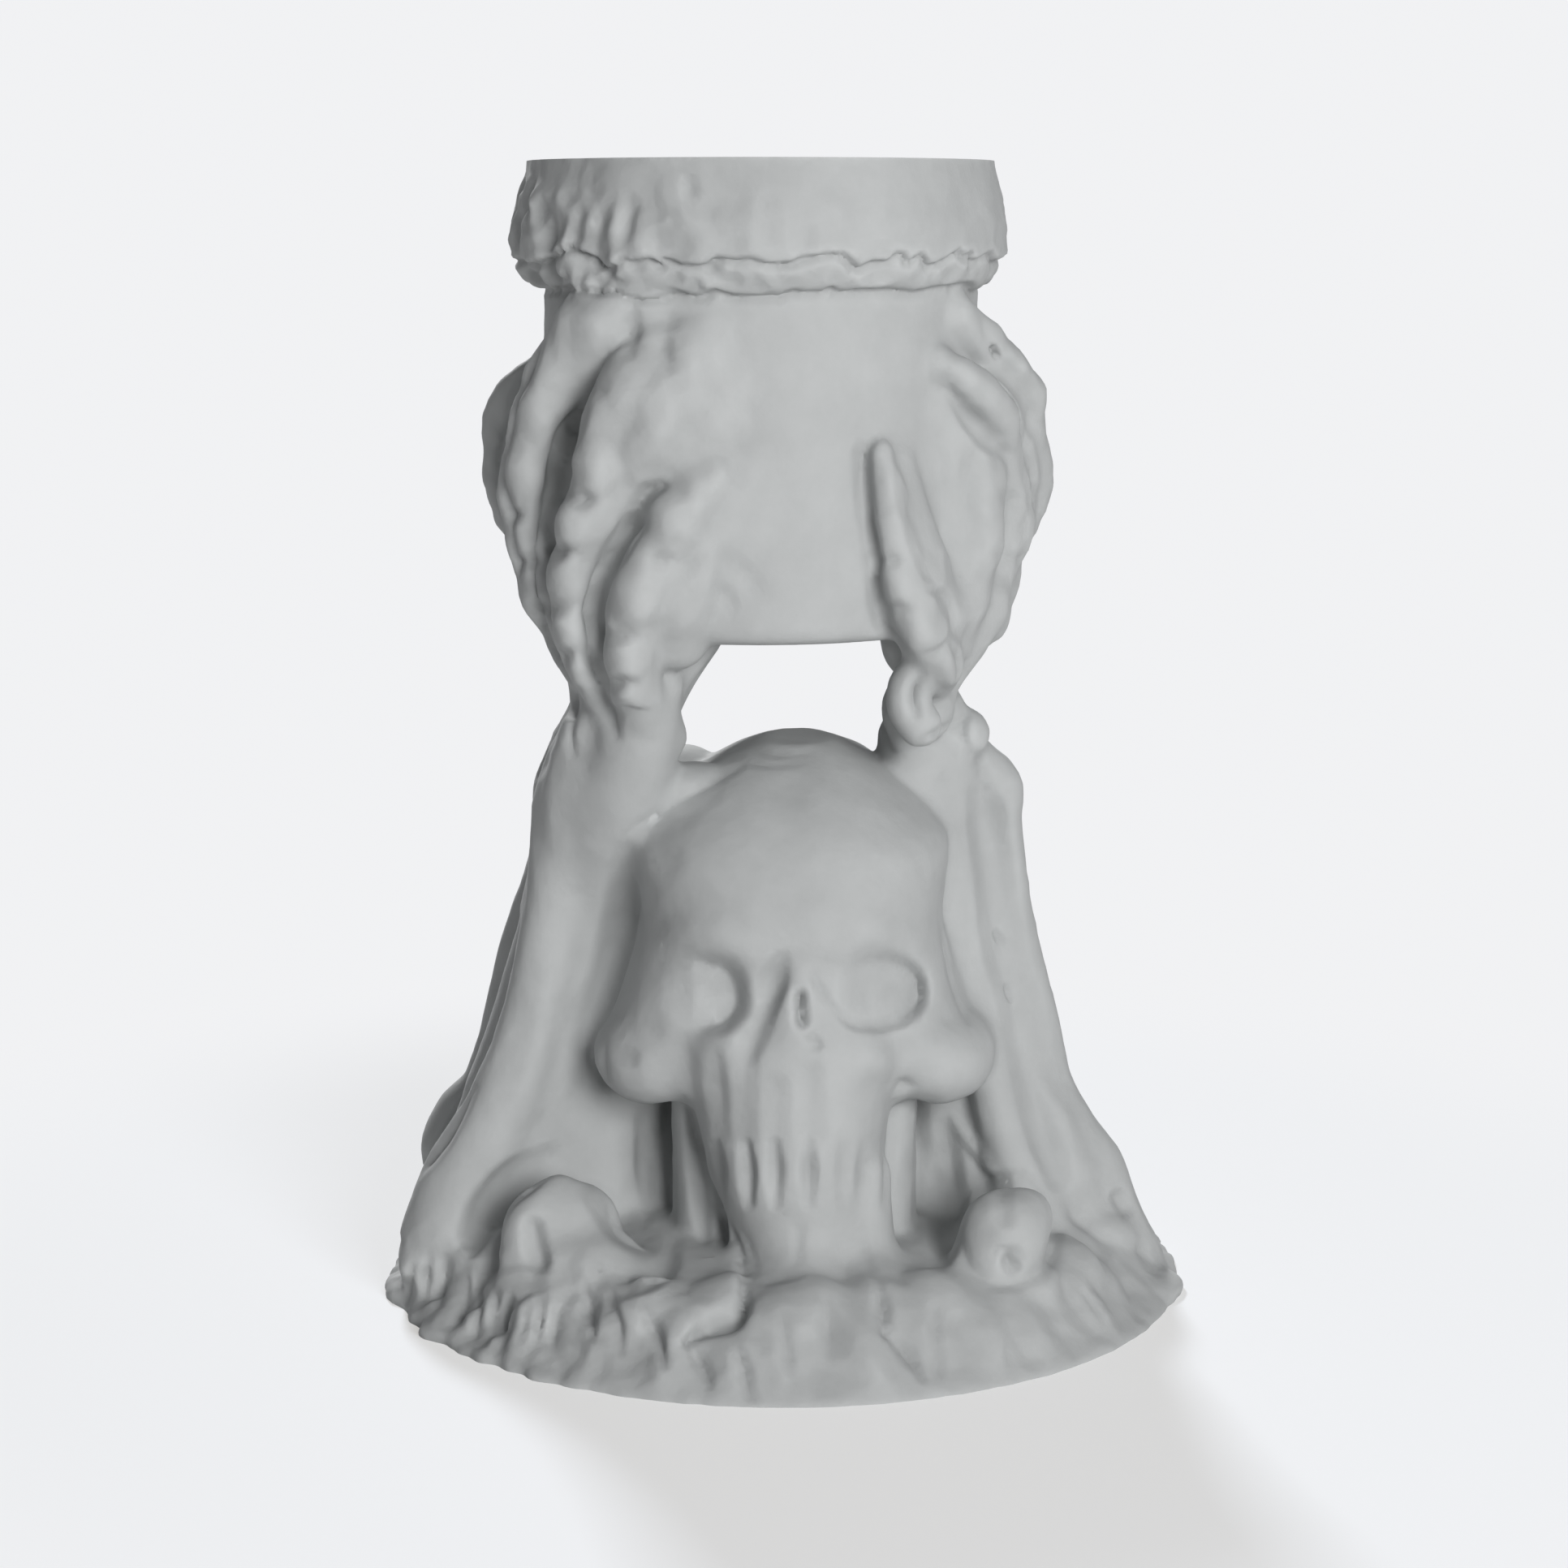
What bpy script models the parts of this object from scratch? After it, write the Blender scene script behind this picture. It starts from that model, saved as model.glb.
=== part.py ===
"""Skeleton candle holder: a one-piece casting. Two bony forearms rise from a rocky mound on either side of
a skull, and their hands hold a round candle cup with a crusted rim.

Metres, +Z up, front towards -Y. The origin is on the flat underside, at the middle of the mound.
The casting is laid up as clay: turned forms, ellipsoid lumps and tapered bones are merged by a voxel
remesh, pressed with hollows and grooves, softened, and then cut flat at the rim and below and bored for
the candle.
"""

import math

import bmesh
import bpy
import numpy as np
from mathutils import Euler, Matrix, Vector

MM = 0.001

# The whole casting
HEIGHT = 150.0 * MM
NODE_NAME = "candle_holder"

# Candle cup: a round pot on its own axis, a little left of the mound's middle
CUP_X = -3.0 * MM
CUP_Y = 0.0 * MM
CUP_RADIUS = 28.4 * MM
CUP_HEIGHT = 60.4 * MM
CUP_EDGE_ROUND = 2.2 * MM
BORE_RADIUS = 25.0 * MM
BORE_DEPTH = 50.0 * MM

# Crusted rim: an upper skirt over a lower band
RIM_RADIUS = 30.3 * MM
SKIRT_RADIUS = 32.1 * MM
SKIRT_DROP = 12.6 * MM
HEM_STEP = 0.7 * MM
BAND_RADIUS = 30.1 * MM
BAND_DROP = 16.6 * MM

# Mound
MOUND_RADIUS = 54.2 * MM
MOUND_DEPTH_SHARE = 1.03
MOUND_EDGE = 4.0 * MM
MOUND_CROWN = 11.0 * MM
MOUND_FOLDS = 38

# Skull
SKULL_X = 1.4 * MM
SKULL_FRONT = 32.0 * MM
SKULL_TOP = 74.6 * MM
SKULL_HALF_WIDTH = 22.0 * MM
SKULL_HALF_DEPTH = 26.0 * MM
TEETH_FOOT = 18.6 * MM

# Arms
FOOT_INSET = 7.5 * MM
FOOT_HEIGHT = 8.0 * MM
LEFT_WRIST_REACH = 21.0 * MM
RIGHT_WRIST_REACH = 24.0 * MM
WRIST_DROP = 12.0 * MM

# Clay
VOXEL = 1.0 * MM
SOFTENING_PASSES = 2
KEPT_FACES = 0.06
BORE_SIDES = 64
CUT_MARGIN = 20.0 * MM

CUP_BOTTOM = HEIGHT - CUP_HEIGHT


def clear_scene():
    for obj in list(bpy.data.objects):
        bpy.data.objects.remove(obj)


def collection(name):
    made = bpy.data.collections.new(name)
    bpy.context.scene.collection.children.link(made)
    return made


def mm(*values):
    return Vector(values) * MM


def around_cup(angle, up, out):
    """A point by the cup: degrees from the front towards +X, mm above its bottom, mm out from its wall."""
    turn = math.radians(angle)
    reach = CUP_RADIUS + out * MM
    return Vector((CUP_X + reach * math.sin(turn), CUP_Y - reach * math.cos(turn), CUP_BOTTOM + up * MM))


def around_mound(angle, inset, up):
    """A point by the mound: degrees from the front towards +X, mm in from its edge, mm above the ground."""
    turn = math.radians(angle)
    reach = MOUND_RADIUS - inset * MM
    return Vector((reach * math.sin(turn), -reach * math.cos(turn) * MOUND_DEPTH_SHARE, up * MM))


def on_skull(x, y, z):
    """mm right of the skull's middle, back from its brow, and below its crown."""
    return Vector((SKULL_X, -SKULL_FRONT, SKULL_TOP)) + mm(x, y, -z)


def by_wrist(x, y, z):
    """mm right of, behind and above the middle of the cup's underside."""
    return Vector((CUP_X, CUP_Y, CUP_BOTTOM)) + mm(x, y, z)


def smooth_path(knots, steps=4):
    """Catmull-Rom points through rows of numbers."""
    rows = np.array(knots, float)
    rows = np.vstack([2 * rows[0] - rows[1], rows, 2 * rows[-1] - rows[-2]])
    made = []
    for a, b, c, d in zip(rows, rows[1:], rows[2:], rows[3:]):
        for t in np.linspace(0, 1, steps, endpoint=False):
            bend = 2 * a - 5 * b + 4 * c - d
            made.append(0.5 * (2 * b + (c - a) * t + bend * t**2 + (3 * b - a - 3 * c + d) * t**3))
    made.append(rows[-2])
    return np.array(made)


def evaluated_mesh(obj):
    bpy.context.view_layer.update()
    return bpy.data.meshes.new_from_object(obj.evaluated_get(bpy.context.evaluated_depsgraph_get()))


class Clay:
    """Closed shapes piled into one mesh, which the remesh then merges."""

    def __init__(self):
        self.bm = bmesh.new()

    def add_guide(self, data, matrix=Matrix(), screw_sides=0):
        """Turns curve or profile data into a mesh and adds it to the pile."""
        guide = bpy.data.objects.new("guide", data)
        bpy.context.scene.collection.objects.link(guide)
        if screw_sides:
            screw = guide.modifiers.new("turn", "SCREW")
            screw.steps = screw.render_steps = screw_sides
            screw.use_merge_vertices = True
            screw.merge_threshold = 1e-5
        made = evaluated_mesh(guide)
        bpy.data.objects.remove(guide)
        made.transform(matrix)
        self.bm.from_mesh(made)
        bpy.data.meshes.remove(made)

    def lump(self, centre, radii, turn=(0, 0, 0)):
        """An ellipsoid: centre, three radii in mm, and a turn in degrees."""
        rotation = Euler([math.radians(a) for a in turn]).to_matrix().to_4x4()
        matrix = Matrix.Translation(centre) @ rotation @ Matrix.Diagonal((*mm(*radii), 1))
        bmesh.ops.create_icosphere(self.bm, subdivisions=3, radius=1, matrix=matrix)

    def bone(self, *knots):
        """A tapered tube with round ends through (point, radius in mm) knots."""
        data = bpy.data.curves.new("bone", "CURVE")
        data.dimensions = "3D"
        data.bevel_depth = MM
        data.bevel_resolution = 3
        data.use_fill_caps = True
        spline = data.splines.new("POLY")
        points = smooth_path([(*point, radius) for point, radius in knots])
        spline.points.add(len(points) - 1)
        for place, (x, y, z, radius) in zip(spline.points, points):
            place.co = (x, y, z, 1)
            place.radius = radius
        self.add_guide(data)
        for point, radius in (knots[0], knots[-1]):
            self.lump(point, (radius, radius, radius))

    def turned(self, profile, x, y, sides=96, depth=1.0):
        """A turned solid on a vertical axis from (radius, height) points, top to bottom, its depth scaled."""
        data = bpy.data.meshes.new("profile")
        rows = [(0, 0, profile[0][1]), *[(radius, 0, z) for radius, z in profile], (0, 0, profile[-1][1])]
        data.from_pydata(rows, [(i, i + 1) for i in range(len(rows) - 1)], [])
        self.add_guide(data, Matrix.Translation((x, y, 0)) @ Matrix.Diagonal((1, depth, 1, 1)), sides)

    def loft(self, place, middle, *rows, squareness=2.4, sides=40):
        """A closed skin through level sections: rows of (up, left, right, front, back) that place puts in space."""
        rings = []
        for up, left, right, front, back in smooth_path(rows, 3):
            ring = []
            for turn in np.linspace(0, 2 * math.pi, sides, endpoint=False):
                x, y = math.cos(turn), math.sin(turn)
                reach = (right if x > 0 else -left, back - middle if y > 0 else middle - front)
                x, y = (math.copysign(abs(v) ** (2 / squareness), v) * size for v, size in zip((x, y), reach))
                ring.append(self.bm.verts.new(place(x, middle + y, up)))
            rings.append(ring)
        for low, high in zip(rings, rings[1:]):
            for i in range(sides):
                self.bm.faces.new((low[i - 1], low[i], high[i], high[i - 1]))
        self.bm.faces.new(rings[0])
        self.bm.faces.new(reversed(rings[-1]))

    def digit(self, *rows):
        """A finger on the cup from (degrees, mm up, mm out, radius in mm) rows."""
        self.bone(*[(around_cup(angle, up, out), radius) for angle, up, out, radius in rows])

    def limb(self, foot, wrist, *rows):
        """A long bone from foot to wrist: rows of (share of the way up, bow in x and y, radius), in mm."""
        self.bone(*[(foot.lerp(wrist, share) + mm(x, y, 0), radius) for share, x, y, radius in rows])

    def remeshed(self, voxel):
        """The pile as one mesh of its outer surface."""
        data = bpy.data.meshes.new("pile")
        self.bm.to_mesh(data)
        self.bm.free()
        pile = bpy.data.objects.new("pile", data)
        bpy.context.scene.collection.objects.link(pile)
        remesh = pile.modifiers.new("merge", "REMESH")
        remesh.mode = "VOXEL"
        remesh.voxel_size = voxel
        made = evaluated_mesh(pile)
        bpy.data.objects.remove(pile)
        return made


def lay_cup(clay):
    """The pot, with a rounded lower edge, and the two overhangs of its rim."""
    r, low, soft = CUP_RADIUS, CUP_BOTTOM, CUP_EDGE_ROUND
    skirt = HEIGHT - SKIRT_DROP
    band = HEIGHT - BAND_DROP
    rim = [(RIM_RADIUS, HEIGHT + 2 * MM), (RIM_RADIUS, HEIGHT)]
    hem = [(SKIRT_RADIUS, skirt + 4.5 * MM), (SKIRT_RADIUS, skirt + MM), (SKIRT_RADIUS - HEM_STEP, skirt)]
    pot = [(BAND_RADIUS, band + MM), (r, band), (r, low + soft)]
    foot = [(r - 0.3 * soft, low + 0.3 * soft), (r - soft, low)]
    clay.turned(rim + hem + pot + foot, CUP_X, CUP_Y)


def lay_mound(clay):
    """A low dome with a blunt edge that runs on below the ground, where it is cut flat."""
    r, edge, crown = MOUND_RADIUS, MOUND_EDGE, MOUND_CROWN
    dome = [(0.56 * r, crown), (0.74 * r, 0.2 * edge + 0.8 * crown), (0.86 * r, 0.6 * edge + 0.4 * crown)]
    side = [(0.92 * r, edge), (0.965 * r, 0.4 * edge), (r, 0.1 * edge), (r, -2 * MM)]
    clay.turned(dome + side, 0, 0, depth=MOUND_DEPTH_SHARE)


def lay_skull(clay):
    w, d, foot = SKULL_HALF_WIDTH / MM, SKULL_HALF_DEPTH / MM, (SKULL_TOP - TEETH_FOOT) / MM
    # cranium, brow and cheeks
    clay.loft(
        on_skull, 24.0,
        (-0.4, -4, 5, 19, 33), (2.6, -10.5, 11.0, 12.6, 2 * d - 8), (7.2, -0.77 * w, 0.75 * w, 6.5, 2 * d - 3),
        (12.0, -0.98 * w, 0.93 * w, 2.6, 2 * d), (17.5, -0.95 * w, 0.92 * w, 0.6, 2 * d + 1),
        (21.4, -0.92 * w, 0.9 * w, 0, 2 * d), (26.2, -0.96 * w, 0.94 * w, 0.6, 2 * d - 2),
        (31.0, -1.03 * w, 1.0 * w, 1.0, 2 * d - 5), (35.2, -1.1 * w, 1.05 * w, 1.4, 42),
        (39.4, -1.12 * w, 1.05 * w, 1.6, 38), (43.0, -1.05 * w, 0.98 * w, 2.5, 34), (46.0, -0.8 * w, 0.75 * w, 5, 30),
    )
    # face under the cheekbones, teeth and chin, spreading into the mound
    clay.loft(
        on_skull, 12.0,
        (30.0, -12, 12, 0, 26), (36.0, -15.5, 14.5, -2.4, 26), (41.0, -14.6, 13.4, -3.0, 24),
        (45.0, -13.4, 12.6, -3.4, 22), (50.0, -12.2, 12.0, -3.4, 22), (foot - 2, -11.4, 11.4, -3.2, 22),
        (foot + 2.5, -9.6, 11.2, -2.6, 24),
        (foot + 6.5, -8.4, 12.2, -3.0, 30), (foot + 11, -9.6, 16, -6.0, 34), (foot + 17, -20, 22, -12, 40),
        squareness=2.3,
    )
    # nose
    clay.bone(
        (on_skull(0.6, 4.6, 22.5), 3.4), (on_skull(0.6, 2.6, 28.0), 3.6), (on_skull(0.0, 2.2, 34.0), 4.6),
        (on_skull(-0.4, 3.0, 40.0), 6.0),
    )
    clay.lump(on_skull(3.4, 5.6, 31.0), (6.4, 6.0, 10.0))
    for side in (-1, 1):  # cheekbones with their lobes, and the rear of the lower jaw
        clay.bone(
            (on_skull(side * 14.0, 9.5, 38.0), 5.0), (on_skull(side * 18.0, 11.5, 40.0), 5.8),
            (on_skull(side * 20.6, 15.0, 40.6), 5.8), (on_skull(side * 21.2, 22.0, 39.5), 5.4),
            (on_skull(side * 19.5, 30.0, 36.0), 5.0),
        )
        clay.bone(
            (on_skull(side * 13.6, 22.0, 36.0), 3.4), (on_skull(side * 13.4, 20.0, 52.0), 3.0),
            (on_skull(side * 12.4, 17.0, 66.0), 4.0),
        )
    # nape
    clay.bone((on_skull(0, 35.0, 32.0), 15.0), (on_skull(0, 33.0, 48.0), 14.0), (on_skull(0, 31.0, 64.0), 18.0))


def lay_arms(clay):
    """Two long bones to a side, from the mound's edge to the wrists."""
    reach = MOUND_RADIUS - FOOT_INSET
    left_wrist = Vector((CUP_X - LEFT_WRIST_REACH, CUP_Y, CUP_BOTTOM - WRIST_DROP))
    right_wrist = Vector((CUP_X + RIGHT_WRIST_REACH, CUP_Y, CUP_BOTTOM - WRIST_DROP))
    left_foot = Vector((-reach, 0, FOOT_HEIGHT))
    right_foot = Vector((reach, 0, FOOT_HEIGHT))
    # left arm: front bone, rear bone
    clay.limb(
        left_foot, left_wrist, (-0.03, 2.2, -15.5, 6.4), (0.03, 1.6, -15, 6.4), (0.122, 1.4, -14, 6.0),
        (0.247, 3.2, -12.8, 5.2), (0.395, 3.7, -11.3, 4.5), (0.532, 3.0, -9.6, 4.6), (0.684, 1.6, -8.2, 4.8),
        (0.823, -0.5, -7.6, 5.2), (0.9, -0.2, -8, 5.6), (0.98, 1.2, -9, 6.0),
    )
    clay.limb(
        left_foot, left_wrist, (-0.03, 2.4, 5, 5.0), (0.03, 0.8, 7, 5.0), (0.093, -1.6, 8.5, 5.0),
        (0.158, -1.4, 10, 4.5), (0.226, 0.8, 10, 4.0), (0.493, -0.6, 10, 3.8), (0.697, -0.5, 9.2, 3.9),
        (0.828, -2.5, 8, 4.2), (0.9, -1.8, 6.5, 4.4), (0.94, -1.0, 5, 4.0),
    )
    # right arm: outer bone, inner bone
    clay.limb(
        right_foot, right_wrist, (-0.08, -3.6, -5, 6.4), (0.02, -3.4, -4.5, 5.8), (0.106, -2.6, -4.5, 5.2),
        (0.168, -3.6, -4.5, 4.5), (0.264, -4, -4, 3.8), (0.392, -2.7, -3.4, 3.6), (0.585, -1.0, -3, 3.5),
        (0.779, 1.9, -2.6, 3.6), (0.86, 3.8, -2.5, 3.8), (0.905, 2.0, -2.5, 3.4),
    )
    clay.limb(
        right_foot, right_wrist, (-0.05, -13, -15, 5.6), (0.06, -12.4, -14, 4.6), (0.178, -12, -12, 3.6),
        (0.282, -11.4, -10.4, 3.4), (0.434, -9.2, -8.4, 3.2), (0.586, -7, -6.6, 3.2), (0.81, -3.6, -5.4, 3.4),
        (0.92, -1.5, -6, 3.8),
    )
    # the arms' inner sides, sloping back towards the skull
    clay.limb(
        left_foot, left_wrist, (0.04, 6.5, -11.5, 6.5), (0.25, 8.0, -8.5, 5.4), (0.5, 7.2, -6.8, 5.0),
        (0.8, 4.6, -5.5, 5.0), (0.95, 6, -6, 5),
    )
    clay.limb(
        left_foot, left_wrist, (0.04, 12, -7.5, 7.5), (0.25, 13, -4.6, 6.4), (0.5, 12.4, -3.2, 5.8),
        (0.8, 9, -2.5, 5.6),
    )
    clay.limb(left_foot, left_wrist, (0.04, 18, -6, 8), (0.25, 19, -2.0, 7), (0.5, 17, -0.6, 6.4))
    clay.limb(right_foot, right_wrist, (0.36, -13.4, -5.5, 6.0), (0.55, -10.0, -5.0, 6.4), (0.8, -6, -4.4, 6), (0.95, -5, -4, 5))
    clay.limb(right_foot, right_wrist, (0.1, -7.5, -8.0, 6.0), (0.3, -8.0, -6.4, 5.2), (0.6, -5.0, -4.6, 4.6), (0.85, -1.2, -3.4, 4.2))
    # webs between the bones, and between each arm and the skull
    clay.limb(
        left_foot, left_wrist, (0.0, 3, -2, 7), (0.2, 4.4, 0, 7), (0.5, 3.6, 1, 6), (0.82, 2.0, 0, 5.5),
        (0.95, 3, -2, 5),
    )
    clay.limb(left_foot, left_wrist, (0.0, 9, -3, 9), (0.2, 10, -2, 8), (0.5, 8, 1, 7.5), (0.8, 4, 0, 7))
    clay.limb(left_foot, left_wrist, (0.0, 18, -4, 9), (0.2, 18, 0, 8), (0.5, 15, 4, 8), (0.82, 9, 2, 7))
    clay.limb(left_foot, left_wrist, (0.0, 27, -2, 9), (0.25, 26, 5, 8), (0.5, 21, 8, 9), (0.82, 14, 5, 7))
    clay.limb(right_foot, right_wrist, (0.0, -9, -6, 8), (0.2, -9.5, -4, 7), (0.5, -6, 0, 6), (0.82, -1.6, 1, 6))
    clay.limb(right_foot, right_wrist, (0.0, -18, -5, 9), (0.2, -17, -2, 8), (0.5, -12, 3, 7.5), (0.8, -6, 1, 7))
    clay.limb(right_foot, right_wrist, (0.0, -26, -2, 9), (0.25, -25, 4, 8), (0.5, -19, 7, 9), (0.8, -11, 5, 7))


def lay_wrists(clay):
    # left: the heel of the hand narrows to the wrist, with a second bone behind
    clay.bone(
        (by_wrist(-21.5, -8, -19), 7.0), (by_wrist(-19.4, -9.5, -13.5), 6.4), (by_wrist(-18.8, -11, -8.5), 6.4),
        (by_wrist(-18.5, -13, -2), 7.4), (by_wrist(-17, -14, 4), 8.4),
    )
    clay.bone(
        (by_wrist(-16, -10, -19), 4.0), (by_wrist(-14.8, -11, -12), 3.8), (by_wrist(-12.6, -12, -6), 4.0),
        (by_wrist(-9, -13.5, 0.5), 4.4),
    )
    clay.bone(
        (by_wrist(-24.5, 6, -18), 4.6), (by_wrist(-22.5, 5, -11), 3.4), (by_wrist(-21.5, 2, -5), 4.2),
        (by_wrist(-21, 0, 3), 6.0),
    )
    # right: a stack of small wrist bones
    clay.bone((by_wrist(20, -6, -20), 5.0), (by_wrist(23, -6, -16), 4.2), (by_wrist(23.5, -6, -11), 3.6))
    clay.bone(
        (by_wrist(21.4, -11, -11), 3.8), (by_wrist(22.2, -11, -6), 3.8), (by_wrist(22.0, -11, 0), 4.6),
        (by_wrist(21.4, -12, 5), 5.6),
    )
    clay.lump(by_wrist(26.8, -6, -14.4), (3.7, 4.2, 3.7))
    clay.bone(
        (by_wrist(25, 2, -22), 5.4), (by_wrist(22.6, 1, -15), 4.2), (by_wrist(21.5, 1, -7), 3.8),
        (by_wrist(21.5, 1, 3), 6.0),
    )
    # the heel of the left hand, below its front finger
    clay.bone(
        (by_wrist(-9.0, -19.6, 4.4), 4.4), (by_wrist(-13.2, -17.8, -3.0), 4.4), (by_wrist(-15.6, -14.6, -10.5), 5.0),
        (by_wrist(-17.6, -11.0, -17.0), 5.6),
    )
    # shoulders where the wrists meet the skull
    clay.bone((by_wrist(-21, -8.5, -22.5), 6.4), (by_wrist(-15, -11.0, -23.0), 6.0), (by_wrist(-9, -13.0, -23.5), 6.6))
    clay.bone((by_wrist(-18, -5.0, -24.0), 6.0), (by_wrist(-8, -4, -24.5), 6.0))
    clay.bone((by_wrist(24, -4, -22), 5.5), (by_wrist(18, -7, -25.5), 5.6), (by_wrist(12, -7, -25), 6.0))


def lay_hands(clay):
    """Five digits to a hand, round the cup."""
    # left hand: four fingers from the front round to the side, and the thumb behind
    clay.digit(
        (-33, -14, -3.0, 3.3), (-31.5, -9, 0.0, 3.4), (-31.5, -4, 2.2, 3.5), (-30, 1, 3.4, 3.7), (-28.5, 5.5, 3.8, 3.8),
        (-24.5, 10.5, 3.4, 3.6), (-19, 15.5, 3.2, 3.7), (-14, 20, 1.8, 3.3), (-9, 23.5, -0.3, 2.6),
    )
    clay.digit(
        (-45, -9.5, -2.6, 3.5), (-45.5, -4, 0.6, 3.6), (-47, 1, 3.0, 3.5), (-46, 6.5, 4.2, 3.4), (-42.5, 13, 4.6, 3.8),
        (-38, 19.5, 4.4, 4.0), (-35, 25, 4.2, 4.4), (-31, 31, 2.2, 5.2), (-27, 36, -1.6, 5.0),
    )
    clay.digit(
        (-54, -8, -3.8, 3.5), (-59, 0.5, 0.8, 3.6), (-62, 7, 3.2, 3.8), (-63, 13, 4.4, 3.9), (-63, 19, 5.0, 3.9),
        (-59, 25.5, 4.8, 4.0), (-55, 31.5, 4.0, 4.2), (-50, 37, 2.4, 4.2), (-45, 42, 0.4, 4.0),
    )
    clay.digit(
        (-80, -4, -7.0, 4.2), (-96, 6, -1.5, 4.0), (-98, 14, 3.8, 4.0), (-95, 20, 5.2, 3.8), (-92, 26, 5.4, 3.7),
        (-88, 30.5, 2.6, 3.2), (-84, 34.5, -1.2, 2.6),
    )
    clay.digit(
        (-95, -6, -9.0, 4.2), (-122, 0, -1.0, 4.2), (-136, 9, 3.0, 3.8), (-146, 19, 4.0, 3.6), (-152, 28, 2.0, 3.0),
        (-155, 33, -0.5, 2.6),
    )
    # right hand: the thumb in front, and four fingers from the side round to the back
    clay.digit(
        (64, -7, -4.0, 3.4), (52, -3, 0.0, 3.7), (43, 1.5, 1.8, 3.7), (39, 4.5, 2.2, 3.4), (36.5, 8, 2.2, 3.1),
        (34.5, 12, 2.0, 3.0), (33, 16, 1.8, 2.7), (32, 20, 1.4, 2.3), (31, 24, 0.8, 1.9),
    )
    clay.digit(
        (66, -5, -3.0, 3.8), (76, 2, 1.0, 3.8), (84, 8, 2.8, 3.4), (84, 14, 4.0, 3.8), (80, 21, 3.4, 3.5),
        (72, 27, 2.6, 3.3), (60, 32, 1.4, 3.0), (52, 35, 0.0, 2.4),
    )
    clay.digit(
        (80, -5, -4.5, 3.8), (90, 3, 1.7, 3.8), (94, 10, 3.4, 3.6), (96, 17, 6.8, 3.9), (93, 24, 6.4, 3.6),
        (88, 30.5, 5.2, 3.6), (76, 36, 2.0, 3.2), (62, 41, -0.8, 3.0),
    )
    clay.digit(
        (98, -6, -5.0, 3.8), (110, 3, -1.0, 4.0), (119, 11, 3.5, 3.7), (119, 19, 5.0, 3.9), (114, 27, 3.5, 3.5),
        (106, 34, 0.5, 3.0),
    )
    clay.digit(
        (108, -4.5, -4.5, 3.8), (130, 2, -1.0, 3.9), (142, 9, 3.0, 3.6), (146, 17, 4.0, 3.8), (146, 25, 2.5, 3.3),
        (142, 32, -0.5, 2.8),
    )
    # flesh that fades from the fingers into the cup
    clay.digit(
        (-24, 1.0, -2.2, 4.4), (-23, 5.5, -0.8, 5.2), (-18.5, 10.5, -0.9, 5.4), (-13, 15, -1.6, 5.2), (-7, 19.5, -2.6, 4.8),
        (-1, 24, -3.8, 4.4),
    )
    clay.digit((-18, 7.5, -5.2, 6.2), (-12, 11, -5.0, 6.8), (-6, 15, -5.6, 7.0), (0, 19, -6.3, 7.0))
    clay.digit(
        (-34, 20, 0.2, 5.4), (-29, 25, 0.8, 6.0), (-24, 30, -0.2, 6.4), (-18, 35, -2.8, 6.4), (-14, 39, -5.0, 6.0),
    )
    clay.digit((-27, 19, -2.8, 6.4), (-21, 24, -3.0, 7.0), (-15, 29, -4.4, 7.2), (-9, 34, -6.2, 7.0))
    clay.digit((-54, 34, 0.8, 5.0), (-46, 38, 0.2, 5.2), (-38, 42, -2.0, 5.4), (-30, 43, -3.8, 5.4))
    clay.digit((37, 22, -2.8, 4.4), (40, 15, -2.0, 5.0), (45, 8.5, -1.2, 5.4), (54, 3, -1.6, 5.6))
    clay.digit((60, -1, -3.6, 6.0), (66, 8, -2.0, 6.6), (68, 16, -1.4, 6.8), (65, 23, -2.0, 6.4), (57, 29, -3.6, 5.8))
    clay.digit((86, 2, -1.2, 6.0), (90, 10, 0.6, 6.2), (91, 17, 2.0, 6.6), (87, 24.5, 1.6, 6.0), (79, 31, -0.6, 5.4))
    # palms: skin between the fingers and the cup
    palms = (
        (-36, 12, 14), (-44, 10, 16), (-60, 14, 18), (-76, 20, 20), (-92, 20, 20), (-114, 16, 14),
        (68, 16, 14), (82, 20, 20), (96, 20, 20), (112, 16, 14),
    )
    for angle, up, high in palms:
        clay.lump(around_cup(angle, up, -5.0), (8.0, 8.0, high))


def lay_mound_pieces(clay):
    """A broken bone at the left, a knuckle end at the right, and folds of rock down the mound's side."""
    clay.lump(around_mound(-50, 18.0, 11), (6.5, 7.5, 8.6), (20, 15, -20))
    clay.lump(around_mound(-45, 12.5, 8.0), (6.0, 4.0, 6.0), (0, 30, -30))
    clay.lump(around_mound(-38, 16.0, 9.5), (6.0, 5.5, 4.5), (0, 25, -30))
    clay.bone((around_mound(44, 13.5, 14.0), 6.0), (around_mound(41, 14.5, 8.0), 5.6))
    for angle in (-77, -58, 77):
        clay.lump(around_mound(angle, 5.4, 0.6), (8.0, 6.4, 2.4), (0, 0, angle))
    for i in range(MOUND_FOLDS):
        angle = 360 * i / MOUND_FOLDS + 4 * math.sin(7 * i)
        smooth = 0.5 + 0.5 * math.cos(math.radians(angle - 35))
        wide = 2.7 + 0.8 * math.sin(5 * i) + 1.2 * smooth
        proud = 0.6 + 0.3 * math.sin(3 * i + 1) - 0.6 * smooth
        inset = 6.9 + 0.8 * math.sin(4 * i) + abs(math.sin(math.radians(angle))) ** 4
        clay.lump(around_mound(angle, inset, 4.0 + proud), (wide, 7.4, 3.0), (42, 0, angle + 8 * math.sin(2 * i)))
        inset = 12.5 + 2.0 * math.sin(3 * i)
        clay.lump(around_mound(angle + 5, inset, 8.0 + proud), (wide + 1.4, 5.6, 2.8), (22, 0, angle + 25 * math.sin(i)))


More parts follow.
